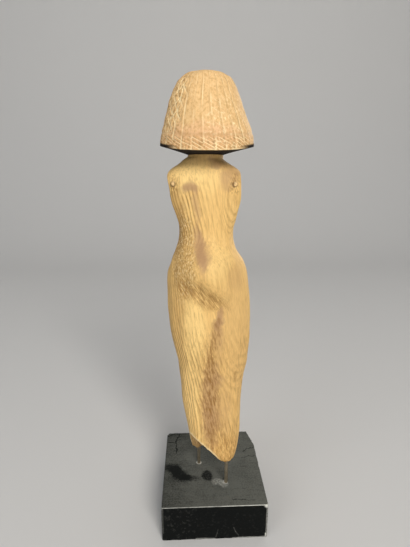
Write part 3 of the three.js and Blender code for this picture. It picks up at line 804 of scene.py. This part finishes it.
def old_wood(look):
    """Old carved wood with ring lines, fibres, pores and smudges, and painted shade and light in places."""
    r = Recipe("old_wood")
    brown, bright = look.brown, look.bright
    slow = r.noise((15, 15, 44), 1.0) - 0.5
    quick = r.noise((4.4, 4.4, 17), seed=3.1) - 0.5
    x = r.x + (r.noise((4.5, 4.5, 5), 3.0, 0.6, seed=4.0) - 0.5) * (5 * MM)
    z = r.z + (r.noise((4.5, 4.5, 6), 3.0, 0.6, seed=8.0) - 0.5) * (8 * MM)
    behind = 1 - r.y.between(-6 * MM, 0.0)
    left = 1 - x.between(-11 * MM, 0.0)
    upper = z.between(150 * MM, 158 * MM) * (1 - z.between(174 * MM, 184 * MM))
    legs = 1 - z.between(96 * MM, 118 * MM)
    leg_side = r.spot(x, z, (-18.5, 110), (4.4, 34), soft=0.8)
    hip = r.spot(x, z, (-14.5, 148), (5.0, 20), soft=0.8)
    fold = r.spot(x, z, (-5.5, 129.4), (13.2, 4.8), -27, 0.9)
    knot = r.spot(r.x, r.z, (7.6, 168), (4.2, 11), 4, 0.95)
    foot = r.spot(x, z, (5.6, 41), (9, 11), soft=0.8)
    worn_leg = r.spot(x, z, (-1.8, 74), (4.2, 30), soft=0.9)
    lashes = r.spot(x, z, (5.5, 53.5), (7, 6), soft=0.9)
    # Painted shadow at the waist on the left flank.
    shadow = r.spot(x, z, (-18.5, 165), (4.5, 17), soft=0.8) * 0.4
    # Band on the neck and the shoulders' tops just under the wig, for painted shade.
    shoulders = r.z.between(187 * MM, 190 * MM) * (1 - r.z.between(194 * MM, WIG_FOOT))

    across = r.x - (r.z - PITH_HEIGHT) * PITH_LEAN - PITH_X
    ahead = r.y - PITH_Y
    reach = (across * across + ahead * ahead) ** 0.5
    ring = (reach + slow * (2.4 * MM) + quick * (0.4 * MM) + knot * (2.6 * MM)) / look.ring_gap
    phase = ring.fraction()
    late = phase.between(0.25, 0.72) * (1 - phase.between(0.78, 0.98))
    dash = r.noise((0.9, 0.9, 4.6), 2.0, 0.6, seed=12.0, turn=11).between(0.34, 0.6)
    fibres = r.noise((0.5, 0.5, 8), 3.0, 0.6, seed=7.0, turn=9)
    streaks = r.noise((1.5, 1.5, 22), seed=1.7, turn=9)
    grit = r.noise((0.62, 0.62, 1.5), 2.0, 0.6, seed=5.2, turn=8)
    ticks = r.noise((0.55, 0.55, 3.0), 2.0, 0.6, seed=2.6, turn=8)
    sweeps = r.noise((0.62, 2, 5.5), 2.0, 0.6, seed=3.7, turn=32)
    blotches = r.noise((9, 9, 15), seed=9.4)
    boldness = 0.7 * left * upper + 0.46 * left * legs + 0.12 * legs + 0.4 * leg_side + 0.3 * knot
    boldness = (0.08 + behind * boldness) * (0.45 + 0.55 * dash)
    ticked = 0.1 + 0.2 * left + 0.12 * legs + 0.5 * worn_leg + 0.5 * foot
    steady = 1 - 0.45 * (1 - r.z.between(95 * MM, 120 * MM)) * dash

    ground = r.mix((blotches - 0.4) * 0.9, look.pale, darker(look.pale, 0.8))
    # Paler wood, and painted light on the top of the seat.
    for place, half, strength in PALE_AND_LIT_PLACES:
        ground = r.mix(r.spot(x, z, place, half, soft=0.95) * behind * strength, ground, bright)
    ground = r.coats(
        ground,
        (foot * behind * 0.8, look.ochre),
        ((1 - left) * legs * behind * 0.22, look.ochre),
        ((streaks - 0.5).between(0.0, 0.3) * (0.3 + 0.3 * legs), brown),
        (late * boldness, brown),
        ((1 - late) * boldness * 0.6, bright),
        ((fibres - 0.5).between(0.0, 0.2) * 0.24, brown),
        ((0.5 - fibres).between(0.02, 0.2) * 0.3, bright),
        (ticks.between(0.54, 0.66) * ticked * behind, brown),
        ((1 - ticks.between(0.34, 0.44)) * (0.1 + 0.4 * worn_leg + 0.4 * foot) * behind, bright),
        # Painted shade down the left flank: at the hip, the leg's side and the waist.
        ((0.25 * hip + 0.28 * leg_side + shadow) * behind, brown),
        ((1 - grit.between(0.36, 0.46)) * hip * behind * 0.6, look.cut),
        (grit.between(0.52, 0.62) * (0.6 * hip).most(0.35 * fold) * behind, brown),
        # Painted shade under the seat, along its fold.
        (fold * 0.42 * behind, brown),
        (sweeps.between(0.5, 0.62) * fold * 0.55 * behind, brown),
        ((1 - sweeps.between(0.36, 0.46)) * fold * 0.55 * behind, bright),
    )
    for place, half, turn, strength in SMUDGES:
        ground = r.mix(r.spot(x, z, place, half, turn, 0.95) * behind * strength * steady, ground, look.smudge)
    for start, end in zip(STREAK, STREAK[1:]):
        ground = r.mix(r.line(x, z, start, end, 2.6) * behind * (0.7 - 0.6 * dash), ground, brown)
    ground = r.coats(
        ground,
        (worn_leg * behind * (1 - dash) * 0.8, brown),
        (fibres.between(0.46, 0.58) * lashes * 0.5 * behind, brown),
        # Painted shade on the neck under the wig's rim.
        (shoulders * 0.3 * behind, brown),
    )

    wig_left = 1 - r.x.between(-20 * MM, -6 * MM)
    specks = r.noise((1.0, 1.0, 1.3), 2.0, 0.6, seed=6.6)
    worn = r.spot(x, z, (4, 203), (8, 12), soft=0.9) * behind
    hair = r.coats(
        r.mix(blotches - 0.4, look.wig, darker(look.wig, 0.8)),
        (r.spot(x, z, (-6, 199), (20, 6), soft=0.9) * 0.55 * behind, look.blush),
        ((1 - z.between(197 * MM, 203 * MM)) * 0.3 * behind, look.ochre),
        ((fibres - 0.5).between(0.0, 0.25) * 0.25, brown),
        (specks.between(0.5, 0.62) * 0.38, look.ochre),
        (specks.between(0.56, 0.66) * (0.12 + 0.16 * wig_left), brown),
        ((1 - specks.between(0.34, 0.44)) * (0.16 + 0.7 * worn), look.cut),
        # Painted shade from the carving, in brown.
        (r.kept("shade") * 0.85, brown),
        # The cuts' pale wood, and the painted highlight along the rim's lower edge.
        (r.kept("cut").between(0.1, 0.7) * 0.95, look.cut),
    )
    colour = r.coats(
        ground,
        (r.z.between(194.6 * MM, WIG_FOOT), hair),
        # Painted shade under the wig, near black.
        (r.kept("under"), (0.008, 0.004, 0.002)),
        (r.kept("broken") * 0.8, r.mix(fibres.between(0.35, 0.65), look.raw, brown)),
        (r.kept("lip") * 0.6, look.cut),
    )
    for node in DOWELS:
        low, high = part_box(node)
        place = ((low.x + high.x) / 2 / MM, (low.z + high.z) / 2 / MM)
        rough = r.spot(x, z, (place[0], place[1] - 0.6), (2.4, 4.6), soft=0.9)
        # Painted shade in the gap round each dowel's end, shifted down and to the left.
        dowel_gap_shade = r.spot(r.x, r.z, (place[0] - 0.3, place[1] - 0.3), (1.25, 1.25), soft=0.3)
        colour = r.coats(
            colour,
            (rough * behind * grit.between(0.46, 0.6) * 0.6, brown),
            (rough * behind * (1 - grit.between(0.36, 0.44)) * 0.45, bright),
            (dowel_gap_shade * behind * 0.62, (0.09, 0.04, 0.012)),
        )

    relief = late * boldness * -0.7 + (fibres - 0.5) * 0.7 + (streaks - 0.5) * 0.5
    relief = relief + (grit - 0.5) * (0.3 + 1.6 * hip + 1.2 * fold) * behind
    rough = 0.56 + 0.12 * blotches + 0.1 * late * boldness + 0.3 * r.kept("under")
    sockets = {"Base Color": colour, "Roughness": rough, "Specular IOR Level": 0.28}
    return r.finish(sockets, relief, 0.14 * MM)


def dowel_wood(look):
    """End grain of a dowel."""
    r = Recipe("dowel_wood")
    rings = r.noise((0.5, 3, 0.5), 3.0, 0.6)
    dirt = r.noise((1.1, 2, 1.1), seed=4.0)
    colour = r.coats(
        r.mix((rings - 0.4) * 1.6, look.dowel, darker(look.dowel, 0.5)),
        (dirt.between(0.55, 0.75) * 0.5, (0.06, 0.03, 0.012)),
        (r.kept("rim").between(0.75, 1.05) * 0.6, (0.16, 0.08, 0.03)),
    )
    return r.finish({"Base Color": colour, "Roughness": 0.7}, rings + dirt, 0.12 * MM)


def pin_metal(look):
    """Dull, tarnished brass rod."""
    r = Recipe("pin_metal")
    bloom = r.noise((1.2, 1.2, 2.6), 3.0, 0.6)
    scratches = r.noise((0.12, 0.12, 3.5), seed=2.0)
    colour = r.mix((bloom - 0.35) * 1.5, look.metal, darker(look.metal, 0.4))
    sockets = {"Base Color": colour, "Roughness": 0.38 + 0.25 * bloom, "Metallic": 1.0}
    return r.finish(sockets, scratches + bloom, 0.05 * MM, 0.6)


# Marks on the block, in millimetres. On top: places are across and along; in front: across and up.
SMEAR = [((-22.6, -2.2), (5.2, 3.0), -20), ((-18.2, -7.4), (6.2, 3.6), -48), ((-12.6, -9.6), (5.0, 2.0), -8)]
BLOT = ((-3.2, -8.3), (3.1, 3.9))
RESIDUE = [((2.2, -13.0), (2.6, 2.2)), ((5.6, -14.6), (2.2, 2.0))]
PIN_FEET = [((-7.5, 2.0), 0.9), ((6.6, -13.4), 0.75)]
CRACKS = [
    ((-19.2, 29), (-21.6, 21.3)),
    ((-21.6, 21.3), (-21.0, 10.0)),
    ((-26.5, 20.8), (-21.8, 19.6)),
    ((-27, 25.6), (-22.4, 29)),
    ((19.5, 10.6), (27, 14.2)),
    ((18.5, 4.8), (27, 6.8)),
    ((9.5, -25.2), (21, -26.2)),
]
# Pale lines in front: start, end, half width, strength
SCRATCHES = [
    ((9.8, 7.3), (10.8, 4.5), 0.4, 0.07),
    ((10.8, 4.5), (12.4, 2.1), 0.4, 0.05),
    ((1.6, 6.1), (1.3, 4.0), 0.35, 0.04),
    ((1.3, 4.0), (0.4, 1.4), 0.4, 0.06),
    ((-9.8, 0.9), (-0.2, 0.6), 0.5, 0.3),
    ((9.5, 0.6), (26.9, 0.6), 0.5, 0.4),
    ((26.8, 0.6), (26.8, 2.6), 0.6, 0.9),
    ((26.9, 3.0), (26.9, 20.6), 0.45, 0.3),
    ((-26.9, 5), (-26.9, 20.4), 0.4, 0.1),
]


def block_paint(look):
    """Black paint, dusty and wiped on top, bare along some edges."""
    r = Recipe("block_paint")
    top = BLOCK_HIGH.z
    front = BLOCK_LOW.y
    right = BLOCK_HIGH.x
    wobble = r.noise((3, 3, 3), 3.0, 0.6, seed=4.4) - 0.5
    jitter = r.noise((3, 3, 3), 3.0, 0.6, seed=9.9) - 0.5
    x = r.x + wobble * (3.2 * MM)
    y = r.y + jitter * (3.2 * MM)
    z = r.z + jitter * (1.4 * MM)
    upward = r.z.between(top - 0.45 * MM, top - 0.02 * MM)
    forward = 1 - r.y.between(front + 0.02 * MM, front + 0.4 * MM)
    speckle = r.noise((0.9, 0.9, 0.9), 3.0, 0.65)
    cloud = r.noise((9, 7, 9), seed=2.2)
    brush = r.noise((11, 1.1, 4), 2.0, 0.6, seed=6.1)
    rubbed = r.noise((5, 5, 1.2), 3.0, 0.6, seed=3.3)
    fine = r.noise((0.45, 0.45, 0.45), 2.0, 0.6, seed=5.5)

    dusty = 0.9 + 0.7 * (cloud - 0.5) + 1.3 * (speckle - 0.5) + 0.4 * (brush - 0.5)
    dusty = dusty + fine.between(0.6, 0.7) * 0.5 - (1 - fine.between(0.3, 0.4)) * 0.4
    dusty = dusty - 0.34 * (1 - r.x.between(right * -0.85, right * -0.35))
    smeared = 0.2 + 0.85 * brush + 0.5 * (fine - 0.5)
    for place, half, turn in SMEAR:
        dusty = dusty - r.spot(x, y, place, half, turn, 1.0) * smeared
    dusty = dusty - r.spot(x, y, *BLOT, soft=0.6) * (0.55 + 0.55 * cloud)
    for start, end in CRACKS:
        dusty = dusty - r.line(x, y, start, end, 0.42) * 0.6
    colour = r.mix(upward * dusty.most(0.04), look.paint, look.dust)
    for place, half in RESIDUE:
        pale = r.spot(x, y, place, half, soft=1.0) * (0.3 + fine.between(0.42, 0.6))
        colour = r.mix(pale * upward * 0.32, colour, look.chalk)
    for place, strength in PIN_FEET:
        foot = r.spot(r.x, r.y, place, (1.5, 1.5), soft=0.4)
        colour = r.mix(foot * upward * strength * (0.45 + 0.9 * (speckle - 0.3)), colour, look.chalk)

    shaky = r.x + wobble * (0.5 * MM)
    for start, end, half, strength in SCRATCHES:
        mark = r.line(shaky, r.z + jitter * (0.7 * MM), start, end, half) * (0.5 + rubbed)
        colour = r.mix(mark * forward * strength, colour, look.chalk)
    specks = r.noise((1.3, 1.3, 1.3), seed=7.7).between(0.56, 0.7)
    speckled = 0.012 + 0.02 * (1 - r.x.between(-14 * MM, -4 * MM))
    edge = r.kept("edge")
    high = r.z.between(top - 1.2 * MM, top - 0.5 * MM)
    low = 1 - r.z.between(0.5 * MM, 1.2 * MM)
    at_front = 1 - r.y.between(front + 0.5 * MM, front + 1.2 * MM)
    at_right = r.x.between(right - 1.2 * MM, right - 0.5 * MM)
    corner = r.spot(r.x, r.z, (right / MM - 0.6, top / MM - 0.5), (1.3, 1.2), soft=0.8)
    upper_edge = high * (0.3 + 0.4 * r.x.between(-8 * MM, 14 * MM) + 0.35 * rubbed.between(0.4, 0.6))
    right_edge = at_right * (1 - high) * 0.55 * rubbed.between(0.4, 0.55)
    front_edges = upper_edge + 0.2 * low * rubbed + right_edge + 0.8 * corner
    colour = r.coats(
        colour,
        (specks * forward * speckled, look.chalk),
        (corner * forward, look.chalk),
        (edge.between(0.25, 0.7) * at_front * front_edges, look.chalk),
        (edge.between(0.5, 0.9) * (1 - at_front) * 0.14 * rubbed, look.chalk),
        (r.kept("bare") * (0.25 + 0.4 * speckle), look.dust),
    )

    relief = speckle + 0.6 * brush - 1.5 * edge * rubbed
    rough = 0.32 + 0.42 * upward + 0.1 * speckle
    sockets = {"Base Color": colour, "Roughness": rough, "Specular IOR Level": 0.07}
    return r.finish(sockets, relief, 0.05 * MM, 0.7)


def pale_floor(look):
    r = Recipe("pale_floor")
    tone = r.noise((160, 160, 160))
    colour = r.mix((tone - 0.5) * 0.25, look.floor, darker(look.floor, 0.93))
    return r.finish({"Base Color": colour, "Roughness": 0.85})


def dress(made, node, material):
    """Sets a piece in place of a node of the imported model."""
    made.data.materials.append(material)
    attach(made, "root")
    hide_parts(node)


class CARVING_OT_figure(bpy.types.Operator):
    """Carves the woman and her wig"""

    bl_idname = "carving.figure"
    bl_label = "Carve the figure"

    def execute(self, context):
        sizes = context.scene.carving_sizes
        head = HeadNet(sizes)
        head_rows, shown, shade, under_rim_shade = head.build()
        neck_angles = head_angles(np.arange(head.columns), head.braid_columns, RIM_HALF)[::2]
        body_rows = body_net(neck_angles)
        rings, centre = end_net(body_rows[-1])
        columns = len(neck_angles)

        at = body_rows * SHARE
        relief = unevenness(at * [1, 1, 0.45], 6 * MM, 3) + 0.4 * unevenness(at * [1, 1, 0.2], 2.4 * MM, 4)
        inward = body_rows[..., :2] - np.array([BODY[0][1], 0])
        inward /= np.linalg.norm(inward, axis=-1, keepdims=True)
        from_end = np.arange(len(body_rows))[::-1, None]
        fade = smoothstep(NECK_TOP - body_rows[..., 2], 4, 40) * smoothstep(from_end, 0, 3)
        body_rows[..., :2] -= inward * (sizes.knife_marks * relief * fade / SHARE)[..., None]

        crown = np.array([[WIG[0][1], 0, CROWN]])
        points = [crown, head_rows.reshape(-1, 3), body_rows.reshape(-1, 3), rings.reshape(-1, 3), centre[None]]
        last_head = 1 + (len(head_rows) - 1) * head.columns
        first_body = last_head + head.columns
        faces = fan(1, head.columns, 0) + strips(1, len(head_rows), head.columns)
        for i in range(columns):
            a, b, c = (last_head + k % head.columns for k in (2 * i, 2 * i + 1, 2 * i + 2))
            d, e = first_body + i, first_body + (i + 1) % columns
            faces += [(a, d, b), (b, d, e), (b, e, c)]
        rows = len(body_rows) + len(rings)
        last_ring = first_body + (rows - 1) * columns
        end_point = last_ring + columns
        faces += strips(first_body, rows, columns) + fan(last_ring, columns, end_point, flip=True)

        figure = mesh_object("carved_figure", to_frame(np.concatenate(points)), faces)
        end = first_body + (len(body_rows) - 1) * columns
        above = (body_rows[..., 2] - body_rows[-1, :, 2]) * SHARE
        lip = (1 - smoothstep(above, 0.5 * MM, 1.6 * MM)) * smoothstep(body_rows[-1, :, 2], 10, 25)
        # The cuts' pale wood and the painted highlight along the rim.
        paint_points(figure, "cut", shown, 1)
        paint_points(figure, "shade", shade, 1)
        # Painted shade under the wig's rim.
        paint_points(figure, "under", under_rim_shade, 1)
        paint_points(figure, "lip", lip, first_body)
        paint_points(figure, "broken", np.ones(end_point + 1 - end), end)
        dress(figure, "figure", old_wood(context.scene.wood_look))
        return {"FINISHED"}


def rod(name, node, axis, wobble, seed, dome):
    """A round rod in a node's place, with uneven sides and domed ends, and how far out its points are.

    It runs along Y where the axis is 1 and along Z where it is 2."""
    low, high = (np.array(corner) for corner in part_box(node))
    start, end = low[axis], high[axis]
    radius = (high - low)[2 if axis == 1 else 0] / 2
    middle = (low + high) / 2
    middle[axis] = 0
    columns, rows, rings = 28, 40, 5
    angle = 2 * math.pi * np.arange(columns) / columns
    cap = [(radius * t, dome * t**4) for t in (i / rings for i in range(1, rings + 1))]
    profile = [(r, start + bulge) for r, bulge in cap]
    profile += [(radius, lerp(start + dome, end - dome, t)) for t in np.linspace(0, 1, rows)[1:-1]]
    profile += [(r, end - bulge) for r, bulge in reversed(cap)]
    sides = [[r * math.cos(a), r * math.sin(a), h] for r, h in profile for a in angle]
    points = np.array([[0, 0, start], *sides, [0, 0, end]])
    points[:, :2] *= (1 + wobble / radius * unevenness(points, 4 * radius, seed))[:, None]
    far_out = np.hypot(points[:, 0], points[:, 1]) / radius
    faces = closed_net(len(profile), columns)
    if axis == 1:
        points = points[:, [0, 2, 1]]
    else:
        faces = [tuple(reversed(face)) for face in faces]
    return mesh_object(name, points + middle, faces), far_out


class CARVING_OT_dowels(bpy.types.Operator):
    """Makes the small dowels whose ends show on the shoulders"""

    bl_idname = "carving.dowels"
    bl_label = "Make the dowels"

    def execute(self, context):
        material = dowel_wood(context.scene.stand_look)
        for seed, side in enumerate(("left", "right")):
            node = "shoulder_peg_" + side
            made, far_out = rod("dowel_" + side, node, 1, 0.05 * MM, seed, 0.25 * MM)
            paint_points(made, "rim", far_out)
            dress(made, node, material)
        return {"FINISHED"}


class CARVING_OT_pins(bpy.types.Operator):
    """Makes the two metal pins"""

    bl_idname = "carving.pins"
    bl_label = "Make the pins"

    def execute(self, context):
        material = pin_metal(context.scene.stand_look)
        for seed, side in enumerate(("left", "right")):
            node = "pin_" + side
            made, _ = rod("metal_pin_" + side, node, 2, 0.02 * MM, 5 + seed, 0.1 * MM)
            dress(made, node, material)
        return {"FINISHED"}


# Net of the block: points along a side, rings across the top and the underside, rows up the sides
BLOCK_SIDE = 92
BLOCK_CAP_RINGS = 34
BLOCK_SIDE_ROWS = 38
EDGE_ROUND = 0.5
EDGE_WEAR = 0.22
CORNER_GRAIN = 0.1
NICK_GRAIN = 0.18
# Corners broken off the top: a place on the cut, in millimetres, and the way it faces
BROKEN_CORNERS = [((25.8, 22.6, 20.8), (0.913, 0.22, 0.342)), ((-26.5, 28.6, 20.8), (-0.72, 0.5, 0.48))]
# Nicks: the centre and the radius of a ball that is gone from an edge, in millimetres
NICKS = [
    ((30.3, 7.1, 22.4), 4.0),
    ((30.0, -1.2, 22.2), 3.5),
    ((30.2, 12.6, 22.0), 3.4),
    ((-29.6, 18.5, 22.3), 3.1),
    ((-29.5, -22, 22.1), 2.6),
    ((28.4, -30.6, 0.2), 1.9),
    ((9.2, -31.0, -1.1), 2.1),
    ((-17, -31.1, -1.0), 2.0),
    ((-28.9, -31.0, 21.9), 2.3),
]


def worn_block():
    """Points and faces of the block, with how near an edge each point is and how bare it is."""
    side = np.sin(np.linspace(-1, 1, BLOCK_SIDE, endpoint=False) * math.pi / 2)
    one = np.ones(BLOCK_SIDE)
    walls = [(side, -one), (one, side), (-side, one), (-one, -side)]
    ring = np.concatenate([np.stack(wall, -1) for wall in walls])
    spread = np.sin(np.arange(1, BLOCK_CAP_RINGS + 1) / BLOCK_CAP_RINGS * math.pi / 2)
    level = np.cos(np.arange(1, BLOCK_SIDE_ROWS) / BLOCK_SIDE_ROWS * math.pi)
    rows = [(s, 1.0) for s in spread] + [(1.0, z) for z in level] + [(s, -1.0) for s in spread[::-1]]
    net = [np.column_stack([ring * scale, np.full(len(ring), z)]) for scale, z in rows]
    unit = np.concatenate([[[0, 0, 1]], *net, [[0, 0, -1]]])

    half = np.array(BLOCK_HIGH - BLOCK_LOW) / 2
    middle = np.array(BLOCK_HIGH + BLOCK_LOW) / 2
    box = unit * half
    bend = EDGE_ROUND * MM
    core = np.clip(box, bend - half, half - bend)
    off = box - core
    outward = off / np.linalg.norm(off, axis=1, keepdims=True)
    edge = np.sort(np.abs(off), axis=1)[:, 1] / bend
    wear = EDGE_WEAR * MM * edge * (0.5 + 0.5 * unevenness(box, 3.5 * MM, 31)).clip(0, 1)
    points = middle + core + outward * (bend - wear[:, None])

    whole = points.copy()
    grain = unevenness(points, 1.7 * MM, 32)
    for place, facing in BROKEN_CORNERS:
        facing = np.array(facing) / np.linalg.norm(facing)
        beyond = (points - np.array(place) * MM) @ facing + CORNER_GRAIN * MM * grain
        points = points - np.maximum(beyond, 0)[:, None] * facing
    for place, radius in NICKS:
        away = points - np.array(place) * MM
        far = np.linalg.norm(away, axis=1, keepdims=True)
        reach = (radius + NICK_GRAIN * grain[:, None]) * MM
        points = np.where(far < reach, points + away / far * (reach - far), points)
    points = np.clip(points, np.array(BLOCK_LOW), np.array(BLOCK_HIGH))
    bare = smoothstep(np.linalg.norm(points - whole, axis=1), 0.03 * MM, 0.2 * MM)

    return points, closed_net(len(rows), len(ring)), edge, bare


class CARVING_OT_block(bpy.types.Operator):
    """Makes the worn, painted block"""

    bl_idname = "carving.block"
    bl_label = "Make the painted block"

    def execute(self, context):
        points, faces, edge, bare = worn_block()
        block = mesh_object("painted_block", points, faces)
        paint_points(block, "edge", edge)
        paint_points(block, "bare", bare)
        dress(block, "base_block", block_paint(context.scene.stand_look))
        return {"FINISHED"}


# Camera of the photograph
CAMERA_PLACE = (-0.0116, -0.18839, 0.1832)
CAMERA_HEADING = math.radians(2.31)
CAMERA_DOWN = math.radians(13.97)
IMAGE_HEIGHT = 547
FOCAL_PIXELS = 379
SENSOR = 36

# Floor, bent up behind: half its width, its ends and its height, and the radius and steps of the bend
FLOOR = Form(half=2.2, near=-1.6, far=1.1, rise=1.8, bend=0.5, steps=12)
# Lights: place, width and colour. They face a place on the figure.
LIGHTS = {
    "key": ((0.38, -1.22, 0.9), 0.7, (1, 0.97, 0.93)),
    "fill": ((-1.1, -1.0, 0.6), 1.1, (0.95, 0.97, 1)),
    "top": ((0.1, 0.2, 1.7), 1.0, (1, 1, 1)),
    "rim": ((0.75, 0.8, 0.45), 0.6, (1, 0.98, 0.95)),
}
LIT_PLACE = (0, 0, 0.12)
AIR_COLOUR = (0.9, 0.94, 1, 1)


def area_light(name, place, size, colour, energy):
    lamp = bpy.data.lights.new(name, "AREA")
    lamp.shape = "DISK"
    lamp.size = size
    lamp.energy = energy
    lamp.color = colour
    made = bpy.data.objects.new(name, lamp)
    made.location = place
    made.rotation_euler = (Vector(LIT_PLACE) - Vector(place)).to_track_quat("-Z", "Y").to_euler()
    bpy.context.scene.collection.objects.link(made)
    return made


class CARVING_OT_stage(bpy.types.Operator):
    """Sets up the floor, the lights and the camera"""

    bl_idname = "carving.stage"
    bl_label = "Set the stage"

    def execute(self, context):
        look = context.scene.stage_look
        scene = context.scene
        bend, start = FLOOR.bend, FLOOR.far - FLOOR.bend
        profile = [(FLOOR.near, 0.0), (start, 0.0)]
        for k in range(1, FLOOR.steps + 1):
            turn = math.pi / 2 * k / FLOOR.steps
            profile.append((start + bend * math.sin(turn), bend - bend * math.cos(turn)))
        profile.append((FLOOR.far, FLOOR.rise))
        points = [(x, y, z) for y, z in profile for x in (-FLOOR.half, FLOOR.half)]
        faces = [(2 * i, 2 * i + 1, 2 * i + 3, 2 * i + 2) for i in range(len(profile) - 1)]
        floor = mesh_object("floor", points, faces)
        floor.data.materials.append(pale_floor(look))

        lamps = {name: area_light(name, *light, getattr(look, name)) for name, light in LIGHTS.items()}
        # The light on the far side is for the figure. On the floor it would leave a bright patch.
        unlit = bpy.data.collections.new("unlit_by_rim")
        unlit.objects.link(floor)
        unlit.collection_objects[0].light_linking.link_state = "EXCLUDE"
        lamps["rim"].light_linking.receiver_collection = unlit
        world = bpy.data.worlds.new("room")
        world.use_nodes = True
        air = world.node_tree.nodes["Background"]
        air.inputs[0].default_value = AIR_COLOUR
        air.inputs[1].default_value = look.air
        scene.world = world
        scene.view_settings.view_transform = "Standard"

        lens = bpy.data.cameras.new("camera")
        lens.sensor_width = SENSOR
        lens.lens = SENSOR * FOCAL_PIXELS / IMAGE_HEIGHT
        lens.clip_start = 0.01
        camera = bpy.data.objects.new("camera", lens)
        camera.location = CAMERA_PLACE
        camera.rotation_euler = (math.pi / 2 - CAMERA_DOWN, 0, -CAMERA_HEADING)
        scene.collection.objects.link(camera)
        scene.camera = camera
        return {"FINISHED"}


class CARVING_PT_panel(bpy.types.Panel):
    """The sizes, colours and steps of the carving"""

    bl_idname = "CARVING_PT_panel"
    bl_label = "Carved figure"
    bl_space_type = "VIEW_3D"
    bl_region_type = "UI"
    bl_category = "Carving"

    def draw(self, context):
        for step in STEPS:
            self.layout.operator(step.bl_idname)
        for group in SETTINGS:
            box = self.layout.box()
            settings = getattr(context.scene, group)
            for name in settings.__annotations__:
                box.prop(settings, name)


STEPS = (CARVING_OT_figure, CARVING_OT_dowels, CARVING_OT_pins, CARVING_OT_block, CARVING_OT_stage)
SETTINGS = {
    "carving_sizes": CarvingSizes,
    "wood_look": WoodLook,
    "stand_look": StandLook,
    "stage_look": StageLook,
}
CLASSES = (*SETTINGS.values(), *STEPS, CARVING_PT_panel)


def register():
    for made in CLASSES:
        bpy.utils.register_class(made)
    for name, group in SETTINGS.items():
        setattr(bpy.types.Scene, name, PointerProperty(type=group))


def unregister():
    for name in SETTINGS:
        delattr(bpy.types.Scene, name)
    for made in reversed(CLASSES):
        bpy.utils.unregister_class(made)


def main():
    register()
    bpy.ops.carving.figure()
    bpy.ops.carving.dowels()
    bpy.ops.carving.pins()
    bpy.ops.carving.block()
    bpy.ops.carving.stage()


if __name__ == "__main__":
    main()
